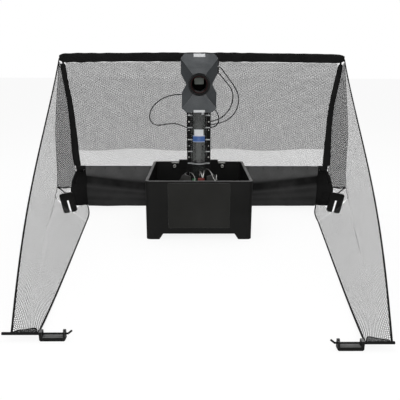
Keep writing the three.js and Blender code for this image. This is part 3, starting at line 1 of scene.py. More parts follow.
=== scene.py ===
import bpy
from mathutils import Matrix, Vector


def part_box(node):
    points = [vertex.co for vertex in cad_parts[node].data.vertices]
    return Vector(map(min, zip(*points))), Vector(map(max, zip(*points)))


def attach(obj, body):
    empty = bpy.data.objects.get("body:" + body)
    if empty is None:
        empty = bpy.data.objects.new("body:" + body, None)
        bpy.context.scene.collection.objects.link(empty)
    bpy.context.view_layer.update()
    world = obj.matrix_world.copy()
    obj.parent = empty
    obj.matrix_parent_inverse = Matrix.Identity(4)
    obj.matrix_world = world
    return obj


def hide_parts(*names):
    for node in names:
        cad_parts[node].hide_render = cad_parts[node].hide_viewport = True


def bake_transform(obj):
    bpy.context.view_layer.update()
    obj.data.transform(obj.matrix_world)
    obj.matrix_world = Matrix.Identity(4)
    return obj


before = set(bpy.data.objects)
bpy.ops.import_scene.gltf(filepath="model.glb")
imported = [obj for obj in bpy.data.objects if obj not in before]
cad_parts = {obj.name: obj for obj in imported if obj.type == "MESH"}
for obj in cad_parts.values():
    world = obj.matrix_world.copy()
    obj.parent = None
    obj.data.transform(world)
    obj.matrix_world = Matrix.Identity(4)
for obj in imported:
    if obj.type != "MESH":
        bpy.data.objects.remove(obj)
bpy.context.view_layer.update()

import math
from collections import namedtuple

import bpy
import numpy as np
from bpy.props import FloatProperty, FloatVectorProperty, IntProperty, PointerProperty
from bpy.types import Operator, Panel, PropertyGroup
from mathutils import Euler, Matrix, Vector

bl_info = {
    "name": "Ball Robot With Catching Net",
    "version": (1, 0, 0),
    "blender": (4, 5, 0),
    "location": "3D View > Sidebar > Ball Robot",
    "description": "Dresses the packed robot and its net with cloth, netting, cables and finishes",
    "category": "Object",
}

# Where the robot's own middle stands in the part, and the middle of its net.
TUB_LOW, TUB_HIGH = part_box("bucket")
ROBOT_AT = np.array([(TUB_LOW.x + TUB_HIGH.x) / 2, (TUB_LOW.y + TUB_HIGH.y) / 2, 0])
NET_AT = np.array([0, ROBOT_AT[1], 0])
# Height of the middle of the ball's way out, in millimetres.
EXIT_HEIGHT = 472.5


def on_robot(points):
    """Points in millimetres from the robot's middle, as metres in the part."""
    return np.asarray(points, float) / 1000 + ROBOT_AT


def on_net(points):
    """Points in millimetres from the net's middle, as metres in the part."""
    return np.asarray(points, float) / 1000 + NET_AT


# Sizes and colours


def colour(name, default, description):
    return FloatVectorProperty(
        name=name, default=default, description=description, min=0, max=1, subtype="COLOR"
    )


def size(name, default, description):
    return FloatProperty(
        name=name, default=default, description=description, min=0, precision=5,
        unit="LENGTH", subtype="DISTANCE",
    )


def angle(name, degrees, description):
    return FloatProperty(
        name=name, default=math.radians(degrees), description=description,
        subtype="ANGLE", unit="ROTATION",
    )


class NetSizes(PropertyGroup):
    cell: size("Net Cell", 0.0045, "Width of one six-sided cell of the netting")
    thread: size("Net Thread", 0.001, "Width of a netting thread")
    border: size("Border Cord", 0.0044, "Diameter of the cord sewn round a wing")
    tie: size("Tie String", 0.0044, "Diameter of the strings at the fork clips")
    cable: size("Cable", 0.0032, "Diameter of the motor cables")
    crease: size("Crease Depth", 0.0016, "Depth of the creases in the trough cloth")
    weave: size("Weave Pitch", 0.0009, "Distance between two threads of the cloth")
    seed: IntProperty(name="Crease Seed", description="Start of the crease pattern", default=7, min=0)


class PartColours(PropertyGroup):
    tub: colour("Tub", (0.0085, 0.0085, 0.0081), "Moulded plastic of the bucket")
    plate: colour("Front Plate", (0.019, 0.019, 0.0175), "Plate on the bucket's front")
    pickup: colour("Pick-up", (0.03, 0.03, 0.028), "Moulded parts of the ball pick-up")
    cover: colour("Motor Cover", (0.2, 0.03, 0.028), "Red end cover of the pick-up motor")
    shell: colour("Head Shell", (0.022, 0.027, 0.031), "Faceted shell of the head")
    back: colour("Head Back", (0.5, 0.51, 0.52), "Plate behind the shell, collars and notch covers")
    neck: colour("Neck", (0.02, 0.02, 0.019), "Yoke, elbow, cradle and the head's bush")
    # The tongue's pale tone is painted light, raised so it shows bright inside the shade of the head.
    stop: colour("Ball Stop", (0.4, 0.44, 0.4), "Grey tongue under the head")
    hub: colour("Wheel Hub", (0.05, 0.05, 0.05), "Hubs of the throwing wheels")
    metal: colour("Black Metal", (0.006, 0.006, 0.006), "Rails, bracket and rods")
    steel: colour("Steel", (0.62, 0.62, 0.6), "Bare steel screws, wires and rings")
    # The tyres' dark tone is painted shade: the foam is pale, and is shown dark as in the shade inside the
    # head.
    tyre: colour("Wheel Tyre", (0.1, 0.1, 0.1), "Foam tyres of the throwing wheels")
    rubber: colour("Rubber", (0.008, 0.008, 0.008), "Outlet ring and plugs")
    lip: colour("Red Rubber", (0.04, 0.005, 0.004), "Lip inside the outlet")
    red: colour("Red Plastic", (0.24, 0.035, 0.03), "Rotor cap and small gear")
    cable: colour("Cable Jacket", (0.008, 0.008, 0.008), "Cables, lacing and strings")
    border: colour("Border", (0.008, 0.008, 0.008), "Cords sewn round the netting")
    clear: colour("Clear Tube", (0.33, 0.35, 0.34), "Tint of the clear ball tube")
    sleeve: colour("Black Cloth", (0.008, 0.008, 0.008), "Sleeves of rail and uprights")
    trough: colour("Trough Cloth", (0.043, 0.043, 0.043), "Cloth of the trough")
    thread: colour("Netting", (0.02, 0.02, 0.0205), "Threads of the netting")
    label: colour("Label Blue", (0.012, 0.09, 0.33), "Lower field of the tube's label")


class StageSizes(PropertyGroup):
    lens: FloatProperty(name="Lens", description="Focal length", default=42, min=10, unit="CAMERA")
    eye: FloatVectorProperty(
        name="Camera Place", description="Where the camera stands",
        default=(-0.02523, -1.29679, 0.51359), subtype="TRANSLATION", unit="LENGTH",
    )
    lean: angle("Camera Tilt", 15.565, "How far the camera looks down")
    turn: angle("Camera Turn", -0.591, "How far the camera turns left")
    roll: angle("Camera Roll", 0.2, "How far the camera leans to its left")
    floor: colour("Floor", (0.86, 0.86, 0.86), "Plain pale floor")
    air: FloatProperty(name="Soft Light", description="Light from all round", default=0.45, min=0)
    lamp: FloatProperty(name="Key Light", description="Power of the main lamp", default=30, min=0)


# Making meshes


def smooth_line(points):
    """A smooth line through points, as a function of the share of its spans."""
    p = np.asarray(points, float)
    p = np.vstack([2 * p[0] - p[1], p, 2 * p[-1] - p[-2]])
    a, b, c, d = p[:-3], p[1:-2], p[2:-1], p[3:]
    gaps = [np.maximum(((t - s) ** 2).sum(1), 1e-12) ** 0.25 for s, t in ((a, b), (b, c), (c, d))]
    g0, g1, g2 = (g[:, None] for g in gaps)
    first = ((b - a) / g0 - (c - a) / (g0 + g1) + (c - b) / g1) * g1
    last = ((c - b) / g1 - (d - b) / (g1 + g2) + (d - c) / g2) * g1
    square, cube = 3 * (c - b) - 2 * first - last, 2 * (b - c) + first + last

    def at(share):
        t = np.clip(np.asarray(share, float), 0, 1) * len(b)
        k = np.minimum(t.astype(int), len(b) - 1)
        s = (t - k)[..., None]
        return b[k] + first[k] * s + square[k] * s**2 + cube[k] * s**3

    return at


def turns(count, closed=False):
    """Angles round a whole turn; closed ends with the first again."""
    return np.linspace(0, 2 * math.pi, count, endpoint=closed)


def way_along(points):
    """The distance along a line of points up to each."""
    return np.concatenate([[0], np.cumsum(np.linalg.norm(np.diff(points, axis=0), axis=1))])


def evenly(points, count):
    """The smooth line through points, at count places an equal length apart."""
    fine = smooth_line(points)(np.linspace(0, 1, 40 * len(points)))
    far = way_along(fine)
    want = np.linspace(0, far[-1], count)
    return np.stack([np.interp(want, far, fine[:, k]) for k in range(3)], 1)


def length_of(points):
    return float(np.linalg.norm(np.diff(points, axis=0), axis=1).sum())


def linked(name, data, body):
    """A new object for data, riding on a body where one is named."""
    piece = bpy.data.objects.new(name, data)
    bpy.context.scene.collection.objects.link(piece)
    if body:
        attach(piece, body)
    return piece


def make_piece(name, shape, key, slot=None, body="stand", smooth=True, flat=None):
    """A piece of (points, faces) in a finish; flat gives each point's place on the cloth."""
    points, faces = shape
    mesh = bpy.data.meshes.new(name)
    mesh.from_pydata([tuple(p) for p in points], [], faces)
    mesh.validate()
    if flat is not None:
        uv = mesh.uv_layers.new(name="Cut")
        corners = np.zeros(len(mesh.loops), np.int32)
        mesh.loops.foreach_get("vertex_index", corners)
        uv.data.foreach_set("uv", np.asarray(flat, np.float32)[corners].ravel())
    mesh.polygons.foreach_set("use_smooth", [smooth] * len(mesh.polygons))
    mesh.materials.append(finish(key))
    mesh.update()
    return linked(name, mesh, body)


def grid_faces(rows, columns, ring=False):
    """Faces between rows of points; ring joins each row's end to its start."""
    faces = []
    for row in range(0, (rows - 1) * columns, columns):
        for j in range(columns if ring else columns - 1):
            a, b = row + j, row + (j + 1) % columns
            faces.append((a, b, b + columns, a + columns))
    return faces


def tube_mesh(path, radius, sides=10, squash=1.0):
    """Points and faces of a closed tube along path; radius may change along it."""
    path = np.asarray(path, float)
    ahead = np.gradient(path, axis=0)
    ahead /= np.linalg.norm(ahead, axis=1)[:, None]
    side = np.cross(ahead[0], [0.13, 0.27, 0.95])
    side /= np.linalg.norm(side)
    radius = np.broadcast_to(radius, len(path))
    points = []
    for place, way, r in zip(path, ahead, radius):
        side = side - way * (side @ way)
        side /= np.linalg.norm(side)
        up = np.cross(way, side)
        points += [place + r * (math.cos(t) * side + squash * math.sin(t) * up) for t in turns(sides)]
    faces = grid_faces(len(path), sides, ring=True)
    last = (len(path) - 1) * sides
    faces += [tuple(reversed(range(sides))), tuple(range(last, last + sides))]
    return np.array(points), faces


def tube_piece(name, path, radius, key, sides=10, squash=1.0, **more):
    return make_piece(name, tube_mesh(path, radius, sides, squash), key, **more)


def turned_mesh(profile, middle, axis, sides):
    """Points and faces of a profile of (radius, height) turned about an axis."""
    axis = Vector(axis).normalized()
    side = axis.orthogonal().normalized()
    up = axis.cross(side)
    points = []
    for r, h in profile:
        for k in range(sides):
            t = 2 * math.pi * k / sides
            points.append(Vector(middle) + axis * h + side * r * math.cos(t) + up * r * math.sin(t))
    faces = grid_faces(len(profile), sides, ring=True)
    for row, r in ((0, profile[0][0]), (len(profile) - 1, profile[-1][0])):
        if r > 1e-9:
            ring = range(row * sides, (row + 1) * sides)
            faces.append(tuple(ring) if row else tuple(reversed(ring)))
    return np.array(points), faces


def joined(shapes):
    """Several (points, faces) as one."""
    points, faces, base = [], [], 0
    for p, f in shapes:
        points.append(np.asarray(p, float))
        faces += [tuple(base + k for k in face) for face in f]
        base += len(p)
    return np.vstack(points), faces


def cloth_piece(name, points, along, across, key="sleeve", gone=None):
    """Cloth over rows of points, cut flat to along and across; gone marks an opening."""
    faces = grid_faces(*points.shape[:2])
    if gone is not None:
        faces = [face for face in faces if not gone.ravel()[list(face)].all()]
    flat = np.stack(np.meshgrid(along, across, indexing="ij"), -1).reshape(-1, 2)
    return make_piece(name, (on_net(points.reshape(-1, 3)), faces), key, flat=flat)


def tucked_end(name, rings):
    """Cloth that closes in over an end, from its outer ring of points to its last."""
    points, count = np.vstack(rings), len(rings[0])
    lid = tuple(range(len(points) - count, len(points)))
    faces = [*grid_faces(len(rings), count, ring=True), lid]
    return make_piece(name, (on_net(points), faces), "sleeve", flat=points[:, 1:] / 1000)


def cord_curve(name, points, diameter, key):
    """A cord as one round curve through points."""
    data = bpy.data.curves.new(name, "CURVE")
    data.dimensions = "3D"
    data.bevel_depth = diameter / 2
    data.bevel_resolution = 3
    data.use_fill_caps = True
    line = data.splines.new("POLY")
    line.points.add(len(points) - 1)
    for knot, place in zip(line.points, points):
        knot.co = (*place, 1)
    data.materials.append(finish(key))
    return linked(name, data, "stand")


def waves(place, seed, low, high):
    """A smooth made-up line of bumps, about -1 to 1, the same on every run."""
    pick, count = np.random.default_rng(seed), 7
    total = sum(
        np.sin(place * pick.uniform(low, high) + pick.uniform(0, 6.28)) * pick.uniform(0.4, 1)
        for _ in range(count)
    )
    return total / count**0.5 / 1.2


# Making finishes


class Nodes:
    """A node tree and short ways to add to it; a socket takes a value or another's output."""

    def __init__(self, owner):
        owner.use_nodes = True
        self.tree = owner.node_tree
        self.tree.nodes.clear()

    def node(self, kind, sockets=None, **settings):
        made = self.tree.nodes.new("ShaderNode" + kind)
        for key, value in settings.items():
            setattr(made, key, value)
        for socket, value in (sockets or {}).items():
            self.set(made, socket, value)
        return made

    def set(self, node, socket, value):
        if isinstance(value, bpy.types.NodeSocket):
            self.tree.links.new(value, node.inputs[socket])
        else:
            node.inputs[socket].default_value = value

    def sums(self, kind, *values):
        return self.node("Math", dict(enumerate(values)), operation=kind).outputs[0]

    def spread(self, value, low, high, new_low=0.0, new_high=1.0):
        """The value taken from low and high to new_low and new_high, and held there."""
        numbers = (value, low, high, new_low, new_high)
        return self.node("MapRange", dict(enumerate(numbers))).outputs[0]

    def axis(self, vector, number):
        return self.node("SeparateXYZ", {0: vector}).outputs[number]


class Finish(Nodes):
    """A material with one Principled shader."""

    def __init__(self, name, base, rough, **sockets):
        self.material = bpy.data.materials.new(name)
        super().__init__(self.material)
        self.shader = self.node("BsdfPrincipled", {"Base Color": (*base, 1), "Roughness": rough})
        for socket, value in sockets.items():
            self.set(self.shader, socket.replace("_", " "), value)
        self.node("OutputMaterial", {"Surface": self.shader.outputs[0]})
        self.place = self.node("TexCoord").outputs["Object"]

    def done(self, base, rough, normal):
        """The material, with these three led into its shader."""
        for socket, value in (("Base Color", base), ("Roughness", rough), ("Normal", normal)):
            self.set(self.shader, socket, value)
        return self.material

    def noise(self, scale, detail, stretch=(1, 1, 1)):
        at = self.node("Mapping", {"Vector": self.place, "Scale": stretch}).outputs[0]
        sockets = {"Vector": at, "Scale": scale, "Detail": detail}
        return self.node("TexNoise", sockets).outputs["Fac"]

    def mixed(self, share, first, second):
        first, second = ((*c, 1) if isinstance(c, tuple) else c for c in (first, second))
        return self.node("Mix", {0: share, 6: first, 7: second}, data_type="RGBA").outputs[2]

    def tones(self, share, tone, down, up):
        """From a darker to a lighter tone."""
        return self.mixed(share, darker(tone, down), lighter(tone, up))

    def rough(self, value, low, high):
        """The roughness from low to high, over what most of a noise covers."""
        return self.spread(value, 0.3, 0.7, low, high)

    def both(self, first, second):
        return self.sums("MULTIPLY", first, second)

    def bump(self, height, distance, strength, below=None):
        sockets = {"Strength": strength, "Distance": distance, "Height": height}
        if below:
            sockets["Normal"] = below
        return self.node("Bump", sockets).outputs[0]

    def upward(self):
        """How far a face looks up, from 0 to 1."""
        return self.spread(self.axis(self.node("NewGeometry").outputs["Normal"], 2), 0.75, 0.97)

    def edges(self, width):
        """How near a corner of the shape a point is, from 0 to 1."""
        rounded = self.node("Bevel", {"Radius": width}, samples=4).outputs[0]
        plain = self.node("NewGeometry").outputs["Normal"]
        dot = self.node("VectorMath", {0: rounded, 1: plain}, operation="DOT_PRODUCT")
        return self.spread(dot.outputs["Value"], 0.99, 0.8)


def lighter(tone, share):
    return tuple(min(1.0, c + (1 - c) * share) for c in tone)


def darker(tone, share):
    return tuple(c * (1 - share) for c in tone)


def moulded_plastic(name, tone, rough, rub=0.06):
    """Plastic with a fine spark grain, paler at corners from wear and a painted highlight, and paler on
    upward faces from dust and painted light from above.
    """
    f = Finish(name, tone, rough, Specular_IOR_Level=0.08)
    cloudy, specks = f.noise(9, 3), f.noise(1700, 2)
    # Corners are paled by wear and by a painted highlight; upward faces by dust and by painted light from
    # above.
    worn_and_lit_edges = f.both(f.edges(0.0011), f.spread(f.noise(60, 3), 0.3, 0.6, 0.35, 1))
    dust_and_top_light = f.both(f.upward(), f.spread(f.noise(45, 4), 0.3, 0.6, 0.6, 1))
    base = f.tones(f.spread(cloudy, 0.3, 0.7), tone, 0.15, 0.004)
    return f.done(
        f.mixed(worn_and_lit_edges, f.mixed(dust_and_top_light, base, lighter(tone, 0.16)), lighter(tone, rub)),
        f.spread(f.sums("ADD", specks, cloudy), 0.7, 1.3, rough - 0.07, rough + 0.09),
        f.bump(specks, 0.00007, 0.6, f.bump(f.noise(35, 2), 0.0003, 0.15)),
    )


def shell_plastic(name, tone):
    """Smooth grey-blue shell with a faint metal flake under a clear coat."""
    coat = {"Coat_Weight": 0.08, "Coat_Roughness": 0.3}
    f = Finish(name, tone, 0.42, Metallic=0.2, Specular_IOR_Level=0.3, **coat)
    flakes = f.noise(2600, 1)
    base = f.tones(f.spread(flakes, 0.35, 0.75), tone, 0.16, 0.05)
    base = f.mixed(f.spread(f.noise(14, 3), 0.35, 0.7, 0, 0.25), base, darker(tone, 0.4))
    return f.done(
        # Painted highlight along the shell's edges.
        f.mixed(f.edges(0.0012), base, lighter(tone, 0.16)),
        f.rough(f.noise(40, 3), 0.3, 0.46),
        f.bump(flakes, 0.00003, 0.35),
    )


def satin_plate(name, tone):
    """Pale thin sheet with fine straight brush lines."""
    f = Finish(name, tone, 0.42, Metallic=0.3)
    lines = f.noise(420, 3, (1, 1, 0.03))
    return f.done(
        f.tones(f.spread(lines, 0.3, 0.7), tone, 0.14, 0.1),
        f.rough(lines, 0.34, 0.52),
        f.bump(lines, 0.00004, 0.3),
    )


def black_metal(name, tone):
    """Powder-coated black metal with a fine orange-peel, and bright corners that are rubbed and carry a
    painted highlight.
    """
    f = Finish(name, tone, 0.52, Specular_IOR_Level=0.03)
    peel = f.noise(900, 2)
    worn_and_lit_edges = f.both(f.edges(0.0007), f.spread(f.noise(70, 4), 0.35, 0.62))
    coat = f.tones(peel, tone, 0.2, 0.01)
    return f.done(
        # Corners are paled by wear and by a painted highlight.
        f.mixed(worn_and_lit_edges, coat, (0.16, 0.16, 0.15)),
        f.rough(f.noise(25, 3), 0.34, 0.52),
        f.bump(peel, 0.00006, 0.5),
    )


def bare_steel(name, tone):
    """Drawn steel with fine lines and slight dark staining."""
    f = Finish(name, tone, 0.3, Metallic=0.95)
    lines = f.noise(1500, 2, (1, 1, 0.06))
    return f.done(
        f.mixed(f.spread(f.noise(80, 4), 0.4, 0.75), lighter(tone, 0.04), darker(tone, 0.3)),
        f.rough(lines, 0.22, 0.4),
        f.bump(lines, 0.00003, 0.4),
    )


def soft_rubber(name, tone, rough=0.7):
    """Matt rubber with a fine powdery skin."""
    f = Finish(name, tone, rough, Specular_IOR_Level=0.06)
    dust = f.noise(300, 5)
    return f.done(
        f.mixed(f.spread(dust, 0.35, 0.75), tone, lighter(tone, 0.012)),
        f.rough(dust, rough - 0.1, rough + 0.12),
        f.bump(f.noise(1400, 2), 0.0001, 0.5),
    )


def foam_tyre(name, tone):
    """Open foam rubber with scuffs round the tread from the balls."""
    f = Finish(name, tone, 0.85, Specular_IOR_Level=0.25)
    cells = f.node("TexVoronoi", {"Vector": f.place, "Scale": 900}).outputs[0]
    return f.done(
        f.mixed(f.spread(f.noise(30, 4, (6, 1, 1)), 0.45, 0.7), tone, darker(tone, 0.25)),
        f.spread(cells, 0, 0.7, 0.75, 0.95),
        f.bump(cells, 0.00025, 0.6),
    )


def clear_plastic(name, tone):
    """Clear tube with faint drawing lines and a light haze from passing balls."""
    coat = {"Coat_Weight": 0.5, "Coat_Roughness": 0.08}
    f = Finish(name, tone, 0.08, IOR=1.49, Transmission_Weight=0.92, **coat)
    haze = f.noise(45, 4, (1, 1, 0.3))
    painted_side_light = f.node("LayerWeight", {"Blend": 0.35}).outputs[1]
    # Painted reflection: the wall is paler towards the tube's sides and darker in its middle, by the angle
    # of view.
    wall = f.tones(f.spread(painted_side_light, 0.25, 0.8), tone, 0.3, 0.35)
    return f.done(
        f.mixed(f.spread(haze, 0.4, 0.75), wall, darker(tone, 0.35)),
        f.spread(haze, 0.3, 0.8, 0.04, 0.2),
        f.bump(f.noise(300, 2, (1, 1, 0.02)), 0.0001, 0.25),
    )


def label_film(name, blue):
    """A plain two-colour film: a pale field over a blue one, with a thin pale line."""
    f = Finish(name, (0.75, 0.77, 0.8), 0.35, Coat_Weight=0.3, Coat_Roughness=0.3)
    low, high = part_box("tube_label")
    up = f.spread(f.axis(f.place, 2), low.z, high.z)
    inner = f.both(f.sums("GREATER_THAN", up, 0.05), f.sums("LESS_THAN", up, 0.45))
    paper = f.mixed(f.spread(f.noise(500, 3), 0.3, 0.7), (0.7, 0.72, 0.75), (0.8, 0.82, 0.84))
    field = f.mixed(f.spread(f.noise(260, 4), 0.35, 0.7), blue, lighter(blue, 0.05))
    field = f.mixed(inner, lighter(blue, 0.35), field)
    return f.done(
        f.mixed(f.sums("GREATER_THAN", up, 0.5), field, paper),
        f.rough(f.noise(200, 2), 0.28, 0.45),
        f.bump(f.noise(120, 3), 0.00008, 0.3),
    )


def wired_cover(name, tone):
    """Red moulded cover beside a green wiring board, told apart by their place."""
    f = Finish(name, tone, 0.4)
    low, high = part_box("motor_cover")
    side = f.sums("LESS_THAN", f.axis(f.place, 0), low.x + 0.3 * (high.x - low.x))
    specks = f.noise(420, 3)
    red = f.mixed(f.spread(specks, 0.3, 0.7), tone, (0.3, 0.06, 0.05))
    green = f.mixed(f.spread(specks, 0.45, 0.6), (0.02, 0.11, 0.05), (0.12, 0.3, 0.16))
    return f.done(
        f.mixed(side, red, green), f.spread(specks, 0.3, 0.7, 0.3, 0.5), f.bump(specks, 0.00015, 0.4)
    )


def woven_cloth(name, tone, dust=0.012, lit_and_shaded_bands=()):
    """Plain-weave cloth: warp and weft pass over and under each other along the cut.

    Its bands, each (start, end, tone) down the cut, are painted light and painted shade on the cloth."""
    f = Finish(name, tone, 0.88, Specular_IOR_Level=0.05, Sheen_Weight=0.03, Sheen_Roughness=0.5)
    cut = f.node("SeparateXYZ", {0: f.node("UVMap", uv_map="Cut").outputs[0]}).outputs
    turn = math.pi / bpy.context.scene.net_sizes.weave
    across, along = (f.both(cut[k], turn) for k in (0, 1))
    warp, weft = (f.sums("ABSOLUTE", f.sums("SINE", way)) for way in (across, along))
    halves = [f.sums("SINE", f.both(way, 0.5)) for way in (across, along)]
    over = f.spread(f.both(*halves), -0.12, 0.12)
    height = f.node("Mix", {0: over, 2: warp, 3: weft}, data_type="FLOAT").outputs[0]
    proud = f.spread(height, 0.15, 0.9)
    # Painted shade: the low parts of the weave are darker.
    base = f.tones(proud, tone, 0.45, 0.004)
    for start, end, other in lit_and_shaded_bands:
        after = f.spread(cut[1], start - 0.008, start + 0.008)
        before = f.spread(cut[1], end - 0.012, end + 0.012, 1, 0)
        base = f.mixed(f.both(after, before), base, f.tones(proud, other, 0.45, 0))
    cloudy = f.noise(18, 4)
    return f.done(
        f.mixed(f.spread(cloudy, 0.4, 0.8, 0, 0.5), base, lighter(tone, dust)),
        f.rough(f.noise(900, 4), 0.8, 0.96),
        f.bump(height, 0.00022, 0.7, f.bump(cloudy, 0.0012, 0.25)),
    )


def trough_cloth(name, tone):
    """Dark cloth with painted light along its upper front, painted shade in its fold, and two painted dark
    creases below.
    """
    # Painted light on the upper front, painted shade in the fold and in two creases.
    lit_and_shaded_bands = [(-0.1, 0.092, lighter(tone, 0.085)), (0.098, 0.165, darker(tone, 0.7))]
    lit_and_shaded_bands += [(at, at + 0.006, darker(tone, 0.55)) for at in (0.189, 0.222)]
    return woven_cloth(name, tone, 0.01, lit_and_shaded_bands)


def net_thread(name, tone):
    """Twisted polyester thread, its strands showing as fine slanting lines."""
    f = Finish(name, tone, 0.75, Specular_IOR_Level=0.15)
    strands = f.noise(5200, 1, (1, 1, 0.6))
    lit = f.spread(f.sums("ADD", strands, f.noise(22, 3)), 0.75, 1.3)
    return f.done(
        f.tones(lit, tone, 0.3, 0.05),
        f.rough(strands, 0.65, 0.85),
        f.bump(strands, 0.00008, 0.6),
    )


def twisted_cord(name, tone):
    """Black braided cord or cable jacket with a soft shine."""
    f = Finish(name, tone, 0.6, Specular_IOR_Level=0.06)
    braid = f.noise(1100, 2, (1, 1, 1.6))
    return f.done(
        f.tones(f.spread(braid, 0.35, 0.7), tone, 0.25, 0.008),
        f.rough(f.noise(150, 3), 0.42, 0.65),
        f.bump(braid, 0.00012, 0.45),
    )


# For each colour: the kind of finish it is used in, its name, and how rough it is, or how pale its worn
# corners with their painted highlight are.
FINISHES = {
    "tub": (moulded_plastic, "tub plastic", 0.46),
    "plate": (moulded_plastic, "front plate plastic", 0.5, 0.14),
    "pickup": (moulded_plastic, "pick-up plastic", 0.36),
    "neck": (moulded_plastic, "neck plastic", 0.42),
    "stop": (moulded_plastic, "ball stop plastic", 0.5),
    "hub": (moulded_plastic, "wheel hub plastic", 0.4),
    "red": (moulded_plastic, "red plastic", 0.35),
    "cover": (wired_cover, "motor cover"),
    "shell": (shell_plastic, "grey-blue shell"),
    "back": (satin_plate, "pale plate"),
    "metal": (black_metal, "black coated metal"),
    "steel": (bare_steel, "bare steel"),
    "tyre": (foam_tyre, "foam tyre"),
    "rubber": (soft_rubber, "black rubber"),
    "lip": (soft_rubber, "red rubber", 0.35),
    "clear": (clear_plastic, "clear tube plastic"),
    "label": (label_film, "plain label film"),
    "cable": (twisted_cord, "cable jacket"),
    "border": (twisted_cord, "border cord"),
    "sleeve": (woven_cloth, "black sleeve cloth"),
    "trough": (trough_cloth, "trough cloth"),
    "thread": (net_thread, "netting thread"),
}


def finish(key):
    """The finish in that colour, made when it is first asked for."""
    kind, name, *more = FINISHES[key]
    tone = tuple(getattr(bpy.context.scene.part_colours, key))
    return bpy.data.materials.get(name) or kind(name, tone, *more)


WELD_WITHIN = 0.00001
ROUNDED_FROM = math.radians(30)
SHARP_FROM = math.radians(38)


def dress(key, *nodes, corner=0.0):
    """Gives CAD nodes a finish, rounded corners where asked, and smooth round faces."""
    for node in nodes:
        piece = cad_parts[node]
        mesh = piece.data
        mesh.materials.clear()
        mesh.materials.append(finish(key))
        mesh.polygons.foreach_set("material_index", [0] * len(mesh.polygons))
        mesh.polygons.foreach_set("use_smooth", [True] * len(mesh.polygons))
        for own in ("custom_normal", "sharp_edge", "sharp_face"):
            if own in mesh.attributes:
                mesh.attributes.remove(mesh.attributes[own])
        piece.modifiers.new("join corners", "WELD").merge_threshold = WELD_WITHIN
        if corner:
            rounding = piece.modifiers.new("round corners", "BEVEL")
            rounding.width, rounding.segments = corner, 2
            rounding.limit_method, rounding.angle_limit = "ANGLE", ROUNDED_FROM
            piece.modifiers.new("flat faces stay flat", "WEIGHTED_NORMAL").weight = 90
        else:
            piece.modifiers.new("sharp corners", "EDGE_SPLIT").split_angle = SHARP_FROM


# Shapes of the net

# In millimetres from the net's middle: how far back and how high the top rail's ends are, half
# its length, and how far back and how high the crossbar is.
RAIL_Y, RAIL_Z = 266, 555
RAIL_HALF = 529
BAR_Y, BAR_Z = 178.5, 159


def rail_bottom(x):
    return 543 - 5 * (x / RAIL_HALF) ** 2


def mirrored(side, *points):
    """Points of the right side, on either side."""
    return [(side * x, y, z) for x, y, z in points]


def upright_line(side, share):
    """The middle line of an upright, from the crossbar to its end in the rail."""
    share = np.asarray(share, float)
    foot = np.array([side * 466, BAR_Y, BAR_Z])
    top = np.array([side * 519, RAIL_Y, RAIL_Z])
    line = foot + (top - foot) * share[..., None]
    line[..., 0] -= side * 12 * 16 * share**2 * (1 - share) ** 2
    return line


def sleeve_shift(side, share):
    """How far outward an upright's sleeve has slipped on its rod."""
    return 0.6 + (7.5 if side < 0 else 0) * np.sin(math.pi * np.clip(share, 0, 1))


def rear_net_place(u, v):
    """The net behind the robot, drawn in to the uprights at its ends."""
    across = 2 * u - 1
    top = rail_bottom(across * 519) - 0.3
    z = 150 + (top - 150) * v
    rise = (z - BAR_Z) / (RAIL_Z - BAR_Z)
    edge = upright_line(1, np.clip(rise, 0, 1))
    middle = 214 + 50.6 * v
    hold = np.abs(across) ** 6 * np.minimum(1, 3 * v) * np.minimum(1, 3 * (1 - v))
    shift = np.where(across < 0, sleeve_shift(-1, rise), 0)
    full = edge[..., 0] - 9.1 + shift + 6 * np.clip(1 - 1.5 * v, 0, 1)
    return np.stack([across * full, middle + (edge[..., 1] - middle) * hold, z], -1)


def curtain_place(u, v):
    """The second layer, which hangs loose from the rail."""
    x = 508 * (2 * u - 1)
    low = 212 + 4 * np.sin((2 * u - 1) * 3 * math.pi)
    top = rail_bottom(x) - 0.3
    y = 267.4 + 3.5 * np.minimum(1, 4 * (1 - v)) + 0.6 * np.sin(u * 41) * (1 - v)
    return np.stack([x, y, low + (top - low) * v], -1)


def held_by(top, foot, back, front):
    """A surface place(u, v) held by four lines: u along top and foot, v along the others."""
    corners = [np.asarray(line(np.array(end)), float) for line in (top, foot) for end in (0.0, 1.0)]

    def place(u, v):
        u, v = np.asarray(u, float), np.asarray(v, float)
        a, b = u[..., None], v[..., None]
        flat = top(u) * (1 - b) + foot(u) * b + back(v) * (1 - a) + front(v) * a
        flat = flat - corners[0] * (1 - a) * (1 - b) - corners[1] * a * (1 - b)
        return flat - corners[2] * (1 - a) * b - corners[3] * a * b

    return place


def upended(place):
    """The same sheet with its other way first, which turns the netting's cells."""
    return lambda u, v: place(v, u)


def straight(start, stop):
    start, stop = np.asarray(start, float), np.asarray(stop, float)
    return lambda share: start + (stop - start) * np.asarray(share, float)[..., None]


# Each end of the net: its side, how far out the edge clip is, the reach to the front, how far out
# on the rod the top cord is tied, and the top cord's bow.
End = namedtuple("End", "side clip reach tied bow")
ENDS = {"left": End(-1, 305.5, 731, 56, 17), "right": End(1, 270.5, 766, 55, 20)}


def upper_cord(end, share):
    """The top edge of a wing, from the rail's end to the front rod."""
    share = np.asarray(share, float)
    stop = [end.side * (end.clip + 25.5 + end.tied), 3.3 - end.reach, 14]
    line = straight([end.side * 530.6, RAIL_Y, 553], stop)(share)
    line[..., 0] += end.side * end.bow * np.sin(math.pi * share**1.5)
    line[..., 2] -= 12 * np.sin(math.pi * share)
    return line


def lower_cord(end, share):
    """The foot of a wing, from the trough's corner to the front rod."""
    share = np.asarray(share, float)
    stop = [end.side * (end.clip + 28.5), 3.3 - end.reach, 4]
    line = straight([end.side * 404, 0, 4], stop)(share)
    line[..., 2] = 4 + 10 * share**6
    return line


